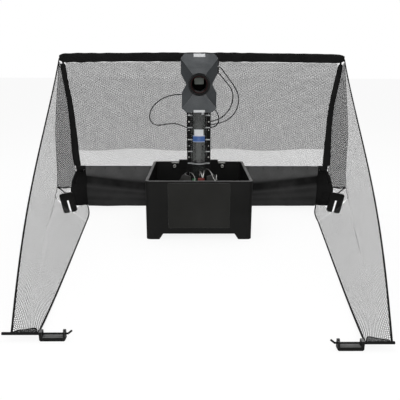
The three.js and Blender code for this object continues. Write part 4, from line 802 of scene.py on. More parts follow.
def wing_back(end):
    """The back edge of a wing, from the rail's end past the flap to the trough."""
    widest = 549.2
    knots = mirrored(end.side, (548, 212, 300), (widest, 172, 82), (526, 84, 62))
    line = smooth_line([upper_cord(end, 0), *knots, lower_cord(end, 0)])
    return lambda share: np.clip(line(share), -widest, widest)


def wing_place(end):
    """The wing: tight along its cords, with shallow folds in the middle."""
    tight = held_by(
        lambda u: upper_cord(end, u),
        lambda u: lower_cord(end, u),
        wing_back(end),
        straight(upper_cord(end, 1), lower_cord(end, 1)),
    )

    def place(u, v):
        flat = tight(u, v)
        slack = 16 * u * (1 - u) * v * (1 - v)
        flat[..., 0] += 2.4 * slack * np.sin(13 * v + 9 * u) + 1.2 * slack * np.sin(31 * v - 14 * u)
        return flat

    return place


def flap_place(end):
    """The flap between an upright and the wing's back edge, long way first."""
    side, back = end.side, wing_back(end)
    inner = lambda v: upright_line(side, 0.962 * (1 - v)) + [side * 9.6, 0, 0]
    outer = lambda v: back(0.012 + 0.488 * v) - [side * 1.4, 0, 0]
    start, stop = np.array(0.0), np.array(1.0)
    dip = mirrored(side, (483, 178, 112), (497, 176.5, 90), (520, 174, 84))
    foot = smooth_line([inner(stop), *dip, outer(stop)])
    top = straight(inner(start), outer(start))
    return upended(held_by(top, foot, inner, outer))


def corner_place(end):
    """The wing's corner between the fork clip, the trough and the floor."""
    clip, inner, tip = mirrored(end.side, (455, 34, 28), (406, 4, 4.6), (404.5, 5, 4.4))
    back = mirrored(end.side, (450, 92, 34), (444, 132, 27), (437, 169, 20))
    back = smooth_line([clip, *back])
    return held_by(straight(clip, inner), corner_cord(end), back, straight(inner, tip))


def gore_place(end):
    """The wing's corner between the flap's tip, the trough's end and the fork clip."""
    outer = lambda u: wing_back(end)(0.502 + 0.24 * np.asarray(u))
    knots = ((484, 122, 97), (486, 111, 84), (500, 105, 80), (513, 102, 75), (511, 95, 60))
    inner = smooth_line(mirrored(end.side, *knots, (506, 88, 46)))
    back, front = (straight(outer(np.array(k)), inner(np.array(k))) for k in (0.0, 1.0))
    return held_by(outer, inner, back, front)


def corner_cord(end):
    knots = ((437, 169, 20), (421, 118, 5), (409, 50, 4.2), (404.5, 5, 4.4))
    return smooth_line(mirrored(end.side, *knots))


def hem_place(end):
    """The doubled hem of a wing over its front rod."""

    def place(u, v):
        deep = (0.003 + 0.024 * u**1.6) * (1 - (2 * u - 1) ** 8) * (1 - v)
        return wing_place(end)(1 - deep, 0.06 + 0.88 * u) + [0, 0, 0.6]

    return place


# A netting is measured along this many lines each way, and its nodes stray by this share of a cell.
LONG_STEPS, WIDE_STEPS = 161, 25
STRAY = 0.05


def netting(place, cell, thread, seed):
    """Six-sided netting laid over place(u, v), which works in millimetres.

    The cells keep their size over the whole sheet: rows of them follow the length
    along u, and columns the width across it. Gives the points, the faces, each
    point's place on the flat sheet, the length and the area of the whole sheet."""
    steps = np.linspace(0, 1, LONG_STEPS)
    shares = np.meshgrid(steps, np.linspace(0, 1, WIDE_STEPS), indexing="ij")
    lines = on_net(place(*shares))
    far = way_along(lines[:, WIDE_STEPS // 2])
    wide = np.linalg.norm(np.diff(lines, axis=1), axis=2).sum(1)
    edge, high = cell / math.sqrt(3), wide.max()
    shape = int(far[-1] / cell) + 4, int(high / (1.5 * edge)) + 4
    i, j = np.meshgrid(np.arange(shape[0]), np.arange(shape[1]), indexing="ij")
    s, t = (i - 1 + (j % 2) / 2) * cell, (j - 1) * 1.5 * edge - high / 2
    nodes = np.stack([np.stack([s, t], -1), np.stack([s, t + edge], -1)], 2)
    nodes += np.random.default_rng(seed).uniform(-STRAY, STRAY, nodes.shape) * cell
    ways = np.radians([[30, 150, 270], [90, 210, 330]])
    reach = thread / math.sqrt(3) * np.stack([np.cos(ways), np.sin(ways)], -1)
    flat = (nodes[:, :, :, None, :] + reach).reshape(-1, 2)
    half = np.interp(nodes[..., 0], far, wide) / 2
    within = (nodes[..., 0] > 0) & (nodes[..., 0] < far[-1]) & (np.abs(nodes[..., 1]) < half)
    number = np.arange(len(flat)).reshape(*shape, 2, 3)
    low, top = number[:, :, 0], number[:, :, 1]
    low_in, top_in = within[:, :, 0], within[:, :, 1]
    triangles = number[within]
    # The thread straight up from each low node to the top node over it.
    threads = [np.stack([low[..., 0], top[..., 2], top[..., 1], low[..., 1]], -1)[low_in | top_in]]
    # The two slanting threads from each top node to the low nodes of the row above.
    for odd in (0, 1):
        row = np.arange(odd, shape[1] - 1, 2)
        for step in (odd, odd - 1):
            column = np.arange(max(0, -step), shape[0] - max(0, step))
            here, there = np.ix_(column, row), np.ix_(column + step, row + 1)
            a, b, keep = top[here], low[there], top_in[here] | low_in[there]
            if step == odd:
                corners = a[..., 2], b[..., 2], b[..., 1], a[..., 0]
            else:
                corners = a[..., 1], a[..., 0], b[..., 0], b[..., 2]
            threads.append(np.stack(corners, -1)[keep])
    threads = np.concatenate(threads)
    used, fresh = np.unique(np.concatenate([triangles.ravel(), threads.ravel()]), return_inverse=True)
    flat = flat[used]
    u = np.interp(flat[:, 0], far, steps)
    v = np.clip(flat[:, 1] / np.interp(u, steps, np.maximum(wide, 1e-5)) + 0.5, 0, 1)
    faces = [*map(tuple, fresh[: triangles.size].reshape(-1, 3).tolist())]
    faces += map(tuple, fresh[triangles.size :].reshape(-1, 4).tolist())
    ahead, across = np.diff(lines, axis=0)[:, :-1], np.diff(lines, axis=1)[:-1]
    whole = float(np.linalg.norm(np.cross(ahead, across), axis=2).sum())
    return on_net(place(u, v)), faces, flat, float(far[-1]), whole


def thread_piece(name, lattice):
    """A piece of the points, faces and flat places that netting() gives."""
    points, faces, flat = lattice[:3]
    return make_piece(name, (points, faces), "thread", smooth=False, flat=flat)


def net_piece(name, place, node, cell, thread, seed):
    """A netting that stands in for a CAD node, as a sheet of threads."""
    lattice = netting(place, cell, thread, seed)
    piece = thread_piece(name, lattice)
    if node:
        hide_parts(node)


# The stage


class BALLROBOT_OT_stage(Operator):
    """Make the camera, the lamps and the plain pale floor"""

    bl_idname = "ballrobot.stage"
    bl_label = "Stage"

    def execute(self, context):
        scene = context.scene
        look = scene.stage_sizes
        camera = bpy.data.cameras.new("photo camera")
        camera.lens, camera.sensor_width, camera.clip_start = look.lens, 36, 0.05
        eye = bpy.data.objects.new("photo camera", camera)
        eye.location = look.eye
        aim = Euler((math.pi / 2 - look.lean, 0, look.turn)).to_matrix()
        eye.rotation_euler = (aim @ Matrix.Rotation(look.roll, 3, "Z")).to_euler()
        scene.collection.objects.link(eye)
        scene.camera = eye
        self.lamps(scene, look.lamp)
        self.air(scene, look.air)
        self.ground(scene, look.floor)
        scene.view_settings.view_transform = "Standard"
        return {"FINISHED"}

    def lamps(self, scene, power):
        places = (
            ("front strip", (0.0, -2.7, 1.3), (0.7, 2.4), 1),
            ("left lamp", (-2.2, -0.9, 1.9), (1.5, 1.5), 0.14),
            ("right lamp", (2.2, -0.7, 1.6), (1.5, 1.5), 0.12),
            ("top lamp", (0.1, 0.5, 2.5), (2.2, 1.6), 0.8),
        )
        for name, place, (wide, high), share in places:
            lamp = bpy.data.lights.new(name, "AREA")
            lamp.shape, lamp.size, lamp.size_y = "RECTANGLE", wide, high
            lamp.energy = power * share
            shown = bpy.data.objects.new(name, lamp)
            shown.location = place
            way = Vector((0, 0.1, 0.25)) - Vector(place)
            shown.rotation_euler = way.to_track_quat("-Z", "Y").to_euler()
            scene.collection.objects.link(shown)

    def seen(self, nodes, mirrored):
        """Value 1 for what the camera and clear plastic see, and mirrored for mirrored rays."""
        rays = nodes.node("LightPath").outputs
        total = nodes.sums("MULTIPLY", rays["Is Glossy Ray"], mirrored)
        for ray in ("Is Camera Ray", "Is Transmission Ray"):
            total = nodes.sums("MAXIMUM", total, rays[ray])
        return total

    def air(self, scene, strength):
        """Soft light from all round, stronger from above; what is seen of it is white."""
        scene.world = bpy.data.worlds.new("soft air")
        f = Nodes(scene.world)
        way = f.axis(f.node("TexCoord").outputs["Generated"], 2)
        higher = f.spread(way, -0.1, 0.9, strength * 0.45, strength * 1.5)
        shown = f.spread(self.seen(f, 0.25), 0, 1, higher, 1)
        sky = f.node("Background", {"Color": (1, 1, 1, 1), "Strength": shown})
        f.node("OutputWorld", {"Surface": sky.outputs[0]})

    def ground(self, scene, tone):
        """A wide floor, matt for the lamps and nearly white where it is seen."""
        material = bpy.data.materials.new("pale floor")
        f = Nodes(material)
        matt = f.node("BsdfDiffuse", {"Color": (*tone, 1)}).outputs[0]
        white = f.node("Emission", {"Strength": 1.025}).outputs[0]
        share = f.sums("MULTIPLY", self.seen(f, 0), 0.86)
        both = f.node("MixShader", {0: share, 1: matt, 2: white})
        f.node("OutputMaterial", {"Surface": both.outputs[0]})
        mesh = bpy.data.meshes.new("floor")
        mesh.from_pydata([(-30, -30, 0), (30, -30, 0), (30, 30, 0), (-30, 30, 0)], [], [(0, 1, 2, 3)])
        mesh.materials.append(material)
        floor = bpy.data.objects.new("floor", mesh)
        scene.collection.objects.link(floor)


# The cables

CABLES = {
    "cable_left": [
        (-52.6, -87, 441), (-58, -87, 441), (-66, -86, 441), (-80, -82, 439.5), (-97, -78, 435.5),
        (-111, -72, 429), (-125, -67, 421), (-136, -62, 412), (-146, -58, 400.5), (-153, -54, 388),
        (-157, -50, 374), (-157, -46, 361), (-150, -42, 349), (-139, -38, 343), (-125, -33, 341.5),
        (-111, -28, 343.5), (-97, -23, 346), (-83, -18, 346.5), (-70, -12, 344), (-60, -8, 340),
        (-51, -4, 335.5), (-44, -1, 332.5), (-39.6, 0, 331.5),
    ],
    "cable_right_outer": [
        (59.5, -87, 522), (64, -86.7, 520.6), (68, -85, 516.5), (76, -81, 507), (86, -77, 494),
        (97, -72, 481), (107, -67, 468), (115, -62, 456), (121, -57, 443), (124, -53, 431),
        (125, -49, 419), (123, -45, 405), (120, -41, 392), (114, -37, 381), (107, -32, 372),
        (99, -27, 363.5), (90, -22, 356.5), (79, -17, 351), (67, -12, 347), (55, -7, 344),
        (46, -3, 341.5), (39.6, -1, 340.5),
    ],
    "cable_right_inner": [
        (59.5, -87, 504), (63, -86.4, 501.6), (67, -84, 496.5), (75, -78, 487), (84, -70, 477.5),
        (93, -62, 468), (100, -55, 458), (105, -49, 447), (107, -43, 436), (107, -37, 424),
        (105, -31, 411), (101, -25, 398), (94, -19, 386), (86, -13, 375), (77, -7, 366),
        (67, -2, 359.5), (56, 1, 355), (47, 2, 352.5), (39.6, 3, 351),
    ],
    "cable_short": [
        (15.6, 50, 374), (19.8, 50, 374.6), (24, 50, 376), (33, 47, 380), (41, 42, 384), (49, 36, 386),
        (56, 30, 384), (61, 25, 378), (64, 21, 370), (66, 17, 361), (66, 13, 352), (63, 10, 344),
        (57, 8, 337), (49, 6, 333), (39.6, 5, 331),
    ],
}


class BALLROBOT_OT_cables(Operator):
    """Make the four motor cables; the long three pass over the pan, tilt and roll joints"""

    bl_idname = "ballrobot.cables"
    bl_label = "Cables"

    def execute(self, context):
        thick = context.scene.net_sizes.cable
        for name in ("cable_left", "cable_right_outer", "cable_right_inner"):
            self.jointed(name, thick)
        path = evenly(on_robot(CABLES["cable_short"]), 30)
        piece = tube_piece("short_cable", path, thick / 2, "cable", 12)
        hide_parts("cable_short")
        self.declare(piece, path, thick, "object")
        return {"FINISHED"}

    def declare(self, piece, path, thick, far_end, **more):
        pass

    def jointed(self, name, thick):
        """One cable in three lengths, each bending over one joint, with a sleeve between them."""
        route = on_robot(CABLES[name])[::-1]
        route[2:-2] = 0.6 * route[2:-2] + 0.2 * (route[1:-3] + route[3:-1])
        steps = 30
        whole = evenly(route, 3 * steps + 1)
        word = name.replace("cable_", "") + "_cable"
        bodies = ("stand", "pan_stage", "tilt_stage", "head")
        for k, (start, end) in enumerate(zip(bodies, bodies[1:])):
            stop = steps * (k + 1)
            path = whole[stop - steps : stop + 1]
            piece = tube_piece(f"{word}_{k + 1}", path, thick / 2, "cable", 12, body=None)
            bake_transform(piece)
            if end == bodies[-1]:
                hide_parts(name)
                self.declare(piece, path, thick, "object", with_pieces=[])
                continue
            line = evenly(whole[stop - 2 : stop + 3], 9)
            line = line[4] + (line - line[4]) * 0.45
            grow = thick * np.array([0.5, 0.62, 0.66, 0.66, 0.66, 0.66, 0.66, 0.62, 0.5])
            sleeve = tube_piece(f"{word}_sleeve_{k + 1}", line, grow, "rubber", 12, body=end)
            self.declare(piece, path, thick, "fitting", with_pieces=[sleeve])


# The net


class BALLROBOT_OT_back_nets(Operator):
    """Make the two layers of netting behind the robot and the flaps beside the uprights"""

    bl_idname = "ballrobot.back_nets"
    bl_label = "Back Nets And Flaps"

    def execute(self, context):
        scene = context.scene
        cell, thread = scene.net_sizes.cell, scene.net_sizes.thread
        net_piece("back_netting", rear_net_place, "rear_net", cell, thread, 3)
        curtain = upended(curtain_place)
        net_piece("curtain_netting", curtain, "rear_curtain", cell * 0.94, thread, 4)
        for word, end in ENDS.items():
            place = flap_place(end)
            behind = netting(
                lambda u, v: upended(place)(u, v) - [0, 1.6, 0], cell * 1.2, thread * 2.1, 6
            )
            lining = thread_piece(f"flap_lining_{word}", behind)
            foot = on_net(place(np.ones(30), np.linspace(0, 1, 30)))
            hem = tube_piece(f"flap_hem_{word}", foot, 0.0012, "border", squash=0.6)
            net_piece(
                f"flap_netting_{word}", place, f"flap_{word}", cell * 0.95, thread * 1.3, 5,
            )
        return {"FINISHED"}


class BALLROBOT_OT_wings(Operator):
    """Make the side wings of netting, with the cord sewn round each"""

    bl_idname = "ballrobot.wings"
    bl_label = "Wings"

    def execute(self, context):
        sizes = context.scene.net_sizes
        share = np.linspace(0, 1, 60)
        for word, end in ENDS.items():
            front = straight(upper_cord(end, 1), lower_cord(end, 1))
            edges = (
                ("top", upper_cord(end, share), 0.5),
                ("foot", lower_cord(end, share), 0.5),
                ("back", wing_back(end)(share * 0.74), 0.25),
                ("front", front(share[::4]), 0.25),
            )
            trims = []
            for edge, line, full in edges:
                wobble = 1 + 0.06 * waves(np.linspace(0, 40, len(line)), len(word), 1, 9)
                trims.append(self.cord(f"wing_cord_{edge}_{word}", line, sizes.border * full * wobble))
            hem = hem_place(end)
            doubled = netting(hem, sizes.cell * 0.7, sizes.thread * 2.2, 11)
            trims.append(thread_piece(f"wing_hem_{word}", doubled))
            trims.append(self.cord(f"wing_hem_cord_{word}", hem(share, 0 * share), 0.0013))
            net_piece(
                f"wing_netting_{word}", wing_place(end), f"wing_{word}", sizes.cell,
                sizes.thread * 1.3, 8,
            )
            edge = self.cord(f"wing_corner_cord_{word}", corner_cord(end)(share), sizes.border / 2)
            corners = (("gore", gore_place, 10, []), ("corner", corner_place, 9, [edge]))
            for part, place, seed, trims in corners:
                net_piece(
                    f"wing_{part}_netting_{word}", place(end), None, sizes.cell, sizes.thread * 1.2,
                    seed,
                )
        return {"FINISHED"}

    def cord(self, name, line, radius):
        return tube_piece(name, on_net(line), radius, "border", squash=0.75)


def boxed(turn):
    """Cosine and sine of turn, drawn out towards the corners of a box."""
    ways = ((np.cos(turn), 0.55), (np.sin(turn), 0.7))
    return [np.sign(way) * np.abs(way) ** power for way, power in ways]


class BALLROBOT_OT_rail_sleeve(Operator):
    """Make the cloth sleeve of the top rail, wrapped round and sewn along its lower edge"""

    bl_idname = "ballrobot.rail_sleeve"
    bl_label = "Top Rail Sleeve"

    def execute(self, context):
        seed = context.scene.net_sizes.seed
        rows, columns, half_deep, half_high = 221, 41, 6, 17
        x = np.linspace(-RAIL_HALF, RAIL_HALF, rows)
        near = np.clip((RAIL_HALF - np.abs(x)) / 26, 0, 1)
        high = 20 + 14 * np.sin(near * math.pi / 2) ** 0.8
        middle = rail_bottom(x) + half_high
        turn = np.linspace(-math.pi / 2 - 0.25, 1.5 * math.pi + 0.12, columns)
        lap = np.linspace(-0.35, 0.35, columns)
        across, up = boxed(turn)
        points = np.zeros((rows, columns, 3))
        points[..., 0] = x[:, None]
        for j in range(columns):
            crease = waves(x / 9 + 0.6 * math.sin(turn[j]), seed, 0.2, 1.6)
            crease += 0.6 * waves(x / 60, seed + 1, 0.4, 1.4)
            points[:, j, 1] = RAIL_Y - (half_deep + 0.35 * lap[j] + 0.45 * crease) * across[j]
            points[:, j, 2] = middle + (high / 2 - 0.8 + 0.3 * lap[j] + 0.8 * crease) * up[j]
        steps = np.hypot(half_deep * np.diff(across), half_high * np.diff(up)) / 1000
        wide = np.concatenate([[0], np.cumsum(steps)])
        piece = cloth_piece("top_rail_sleeve", points, x / 1000, wide)
        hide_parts("top_rail")
        caps = [self.end(end.side, word) for word, end in ENDS.items()]
        self.stitches()
        return {"FINISHED"}

    def end(self, side, word):
        """The tucked and sewn end of the sleeve."""
        turn = turns(32)
        across, up = boxed(turn)
        rings = []
        for step, shrink in enumerate((1, 0.9, 0.62, 0.25)):
            full = shrink * (1 + 0.05 * np.cos(9 * turn) * (step > 0))
            out = np.full(32, side * (528.2 + 0.5 * step))
            rings.append(np.stack([out, RAIL_Y + 5.9 * full * across, RAIL_Z + 9.6 * full * up], -1))
        return tucked_end(f"rail_sleeve_end_{word}", rings)

    def stitches(self):
        """A row of stitches along the sleeve's lower edge, in the front."""
        steps = ((0, 259.75, 0), (1.1, 259.45, 0.1), (2.4, 259.45, 0), (3.5, 259.75, 0))
        parts = []
        for x in np.arange(-515, 515, 5.5):
            low = rail_bottom(x) + 4.2
            parts.append(tube_mesh(on_net([(x + s, y, low + up) for s, y, up in steps]), 0.00028, 5))
        return make_piece("rail_sleeve_stitches", joined(parts), "thread")


class BALLROBOT_OT_uprights(Operator):
    """Make the uprights: a rod in a cloth sleeve, its seam to the back"""

    bl_idname = "ballrobot.uprights"
    bl_label = "Uprights"

    def execute(self, context):
        seed = context.scene.net_sizes.seed
        rows, columns, half_wide, half_deep = 120, 29, 9, 5.4
        share = np.linspace(0.022, 0.95, rows)
        turn = np.linspace(0.5 * math.pi - 0.2, 2.5 * math.pi + 0.15, columns)
        lap = np.linspace(-0.3, 0.3, columns)
        pinch = np.exp(-(((share - 0.95) / 0.012) ** 2))
        for word, end in ENDS.items():
            side = end.side
            inside = on_net(upright_line(side, np.linspace(0.026, 1, 30)))
            rod = tube_piece(f"upright_rod_{word}", inside, 0.0036, "metal", 20)
            line = upright_line(side, share)
            fat = 1.06 + 0.5 * (1 - share) ** 2 + 0.09 * np.sin(share * 9 + side) - 0.25 * pinch
            points = np.repeat(line[:, None], columns, 1)
            points[..., 0] += side * sleeve_shift(side, share)[:, None]
            for j in range(columns):
                crease = waves(share * 46 + 0.8 * math.cos(turn[j]), seed + 2, 0.4, 2.2)
                out, back = half_wide + lap[j] + 0.5 * crease, half_deep + lap[j] + 0.4 * crease
                points[:, j, 0] += out * fat * math.cos(turn[j])
                points[:, j, 1] += back * fat * math.sin(turn[j])
            wide, long = 2 * math.pi * 7 / 1000, length_of(on_net(line))
            cut = np.linspace(0, long, rows), np.linspace(0, wide, columns)
            sleeve = cloth_piece(f"upright_sleeve_{word}", points, *cut)
            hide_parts(f"upright_{word}")
        return {"FINISHED"}


# The trough's section from its front lip round to its back: share of its width towards the
# back, share of its height, and how far the slack cloth sinks in the middle of its length.
TROUGH_SECTION = (
    (0, 1, 0), (0, 0.91, 0.03), (0.01, 0.81, 0.13), (0.2, 0.72, 0.26), (0.14, 0.62, 0.24),
    (0, 0.48, 0.18), (0.03, 0.22, 0.04), (0.14, 0.05, 0), (0.42, 0, 0), (0.76, 0.05, 0),
    (0.93, 0.32, 0), (0.97, 0.6, 0), (1, 0.86, 0),
)


class BALLROBOT_OT_trough(Operator):
    """Make the trough's cloth with its fold and creases, and its binding on the crossbar"""

    bl_idname = "ballrobot.trough"
    bl_label = "Trough"

    def execute(self, context):
        scene = context.scene
        deep, seed = scene.net_sizes.crease * 1000, scene.net_sizes.seed
        rows, columns = 241, 97
        long, front, wide, foot, high = 872, 171.2, 44.8, 6, 161
        u, v = np.linspace(0, 1, rows), np.linspace(0, 1, columns)
        points = np.zeros((rows, columns, 3))
        for i, share in enumerate(u):
            slack = math.sin(math.pi * share)
            knots = [(0, front + wide * y, foot + high * (z - sag * slack)) for y, z, sag in TROUGH_SECTION]
            points[i] = smooth_line(knots)(v)
        points[..., 0] = (long / 2 * (2 * u - 1))[:, None]
        across, down = np.meshgrid(u * long, v, indexing="ij")
        hold = np.sin(math.pi * np.clip(down, 0, 1)) ** 0.6
        ends = 0.35 + 0.65 * np.abs(2 * across / long - 1) ** 3
        crease = waves(across / 14 + 2.2 * down, seed, 0.15, 1.1) * ends
        crease += 0.5 * waves(across / 90 + 7 * down, seed + 5, 0.6, 2.2)
        points[..., 1] += np.where(down < 0.62, -0.35, 0.6) * deep * hold * crease + 0.4 * hold
        points[..., 2] += 0.35 * deep * hold * (crease + 1) * (down > 0.45)
        # The bracket comes through an opening in the lip.
        gone = (abs(points[..., 0] + 14) < 62) & (points[..., 1] < 193) & (points[..., 2] > 145)
        piece = cloth_piece("trough_cloth", points, u * long / 1000, v * 0.45, "trough", gone)
        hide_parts("trough")
        self.binding()
        self.loops()
        return {"FINISHED"}

    def binding(self):
        """A folded tape along the front lip."""
        parts = []
        for start, stop in ((-435, -78), (50, 435)):
            x = np.linspace(start, stop, 60)
            line = np.stack([x, np.full(60, 171.4), 165.6 + 0.5 * waves(x / 20, 3, 0.4, 1.6)], -1)
            parts.append(tube_mesh(on_net(line), 0.0016, 8, squash=0.7))
        tape = joined(parts)
        return make_piece("trough_binding", tape, "sleeve", flat=tape[0][:, [0, 2]])

    def loops(self):
        """Cord loops that lace the lip to the crossbar."""
        parts = []
        turn = turns(17, closed=True)
        for x in [*np.arange(-420, -84, 56), *np.arange(60, 430, 56)]:
            y, z = 178.4 + 7.6 * np.cos(turn), BAR_Z + 7.4 * np.sin(turn)
            parts.append(tube_mesh(on_net(np.stack([x + 2.5 * turn / 6.28, y, z], -1)), 0.0009, 6))
        return make_piece("trough_lacing", joined(parts), "cable", "black_fabric")


class BALLROBOT_OT_trough_ends(Operator):
    """Make the pleated ends of the trough, gathered to the fork clips, and their strings"""

    bl_idname = "ballrobot.trough_ends"
    bl_label = "Trough Ends And Strings"

    def execute(self, context):
        rings, count, wide = 30, 168, 0.31
        share, turn = np.linspace(0, 1, rings), turns(count, closed=True)
        rough = 0.0083 + 0.0003 * waves(np.arange(12), 5, 0.5, 2)
        swell = 0.0145 + 0.0008 * waves(np.arange(24), 6, 0.5, 2.5)
        for word, end in ENDS.items():
            side = end.side
            points = np.stack([self.ring(side, s, turn) for s in share])
            cut = share * 0.13, np.linspace(0, wide, count)
            piece = cloth_piece(f"trough_end_cloth_{word}", points, *cut)
            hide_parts(f"trough_end_{word}")
            wrap = on_net([(side * x, BAR_Y, BAR_Z) for x in np.linspace(436.6, 464, 12)])
            wrapping = tube_piece(f"crossbar_wrap_{word}", wrap, rough, "cable", 24, slot="black_fabric")
            tied = self.knot(side, word)
            tail = mirrored(side, (446, 176, 150), (462, 173, 148), (471, 160, 131), (476, 138, 108))
            tail = on_net(smooth_line(tail)(np.linspace(0, 1, 24)))
            gathered = tube_piece(f"trough_end_tail_{word}", tail, swell, "sleeve", 24, 0.55)
            self.strings(side, word, context.scene.net_sizes.tie)
        return {"FINISHED"}

    def ring(self, side, share, turn, shrink=1.0):
        """One pleated ring of the end, from the trough's open end to the fork clip."""
        low, high = 9 + 23 * share**3, 149 - 51 * share**4
        half_y = 22.2 * (1 - 0.55 * share**1.5) * shrink
        small = np.cos(24 * turn + 0.6 * math.sin(9 * share))
        fold = (share * (3 * np.cos(6 * turn) + small) - 0.6) * shrink
        x = np.full(len(turn), side * (436.3 + 44 * share))
        y = 193.6 - 79.5 * share**2 + (half_y + fold * 0.6) * np.cos(turn)
        z = (low + high) / 2 + ((high - low) / 2 * shrink + fold) * np.sin(turn)
        return np.stack([x, y, z], -1)

    def knot(self, side, word):
        """The tucked cloth that closes the gathered end, drawn in by a cord."""
        turn = turns(96)
        steps = ((1.0, 0), (0.8, 0.6), (0.5, 0.2), (0.2, -1.2), (0.06, -2))
        rings = [self.ring(side, 1, turn, shrink) + [side * out, 0, 0] for shrink, out in steps]
        return tucked_end(f"trough_end_knot_{word}", rings)

    def strings(self, side, word, thick):
        """Two strings from the flap's tip to the gathered end behind the fork clip."""
        tip = np.array([side * 545, 172, 84])
        for k, (y, z) in enumerate(((126, 97), (120, 68))):
            way = [side * 483.5, y, z] - tip
            hangs = ((0, 0), (0.3, 2), (0.5, 3 + 2 * k), (0.7, 2), (1, 0))
            path = evenly(on_net([tip + way * share - [0, 0, sag] for share, sag in hangs]), 18)
            name = f"flap_string_{word}_{k + 1}"
            piece = cord_curve(name, path, thick, "cable")


# The robot


class BALLROBOT_OT_bucket(Operator):
    """Finish the bucket, its front plate and the pick-up inside"""

    bl_idname = "ballrobot.bucket"
    bl_label = "Bucket And Pick-up"

    def execute(self, context):
        dress("tub", "bucket", corner=0.0012)
        dress("plate", "front_plate", corner=0.0004)
        dress("pickup", "pickup_base", "feed_plate", "pickup_rotor", "pickup_cowl")
        dress("red", "rotor_cap")
        dress("metal", "pickup_motor")
        dress("cover", "motor_cover")
        # Bent steel wires over the cowl turn the balls towards the star rotor.
        wires = (
            (0.0011, [(19, -12, 181), (24, -20, 196), (38, -48, 193), (49, -66, 172),
                      (54, -67, 166), (57, -60, 172), (58, -46, 182)]),
            (0.0019, [(3, -30, 174), (4, -34, 190), (8, -52, 186), (13, -66, 176),
                      (15, -58, 186), (18, -34, 193), (19, -20, 181)]),
            (0.0009, [(-31, -24, 177), (-30, -30, 186), (-24, -44, 187), (-16, -58, 181),
                      (-13, -68, 171), (-16, -72, 163)]),
        )
        parts = [tube_mesh(evenly(on_robot(line), 40), radius, 8) for radius, line in wires]
        make_piece("ball_guide_wires", joined(parts), "steel")
        return {"FINISHED"}


class BALLROBOT_OT_column(Operator):
    """Finish the column: rails, clear tube, collars, label and neck"""

    bl_idname = "ballrobot.column"
    bl_label = "Column And Neck"

    def execute(self, context):
        dress("metal", "rail_left", "rail_right", "column_cap", "net_bracket", "net_crossbar", "pan_motor")
        dress("clear", "ball_tube")
        dress("back", *(f"tube_collar_{k}" for k in range(1, 6)))
        dress("label", "tube_label")
        dress("red", "pan_pinion")
        dress("neck", "yoke", "elbow", "cradle")
        dress("stop", "ball_stop")
        return {"FINISHED"}


class BALLROBOT_OT_head(Operator):
    """Finish the head: faceted shell, back plate, outlet ring, wheels and motors"""

    bl_idname = "ballrobot.head"
    bl_label = "Head"

    def execute(self, context):
        dress("shell", "head_cover", corner=0.0007)
        dress("back", "head_back_plate")
        dress("neck", "head_sleeve")
        dress("rubber", "outlet_ring", "cable_plugs")
        for word in ("upper", "lower"):
            dress("hub", f"{word}_wheel_hub")
            dress("tyre", f"{word}_wheel_tyre")
            dress("metal", f"{word}_wheel_motor")
        # Pale covers in the notches are painted light where the lit tyres show.
        self.notch_cover("notch_cover_upper", 77.4, 86.6)
        self.notch_cover("notch_cover_lower", -80.6, -73.4)
        # The black lip round the ring is painted shade for the dark recess between ring and shell.
        lip = [(0.0308, 0.0), (0.0319, 0.0004), (0.0323, 0.0018), (0.0319, 0.0032), (0.0308, 0.0036)]
        self.lip("outlet_lip", lip, -142.6, "rubber")
        lip = [(0.0238, 0.0), (0.0226, 0.0014), (0.0226, 0.003), (0.0236, 0.0044), (0.0238, 0.0022)]
        self.lip("outlet_red_lip", lip, -147, "lip")
        return {"FINISHED"}

    def notch_cover(self, name, low, high):
        """A thin bent cover clipped into one of the shell's notches, in front of a wheel. Its pale face is
        painted light, standing for the lit pale tyre seen there.
        """
        wide, front, wall, deep = 16.6, -141.5, 0.8, 6
        outer = [(-wide, front + deep), (-wide, front), (wide, front), (wide, front + deep)]
        within, face = wide - wall, front + wall
        inner = [(within, front + deep), (within, face), (-within, face), (-within, front + deep)]
        points = [(x, y, EXIT_HEIGHT + z) for z in (low, high) for x, y in outer + inner]
        faces = [(k, (k + 1) % 8, (k + 1) % 8 + 8, k + 8) for k in range(8)]
        faces += [(0, 7, 6, 1), (1, 6, 5, 2), (2, 5, 4, 3)]
        faces += [tuple(k + 8 for k in reversed(cap)) for cap in faces[8:]]
        piece = make_piece(name, (on_robot(points), faces), "back", body="head", smooth=False)
        bend = piece.modifiers.new("Bent Edge", "BEVEL")
        bend.width, bend.segments = 0.0003, 2

    def lip(self, name, profile, y, key):
        """A closed rubber lip round the ball's way out."""
        ring = [*profile, profile[0]]
        points, faces = turned_mesh(ring, on_robot((0, y, EXIT_HEIGHT)), (0, -1, 0), 64)
        make_piece(name, (points, faces[: len(profile) * 64]), key, body="head")


class BALLROBOT_OT_clips(Operator):
    """Finish the fork clips, the edge clips and the front rods"""

    bl_idname = "ballrobot.clips"
    bl_label = "Clips And Rods"

    def execute(self, context):
        for word in ENDS:
            dress("tub", f"fork_clip_{word}", corner=0.0008)
            dress("tub", f"edge_clip_{word}")
            dress("metal", f"wing_rod_{word}")
        return {"FINISHED"}


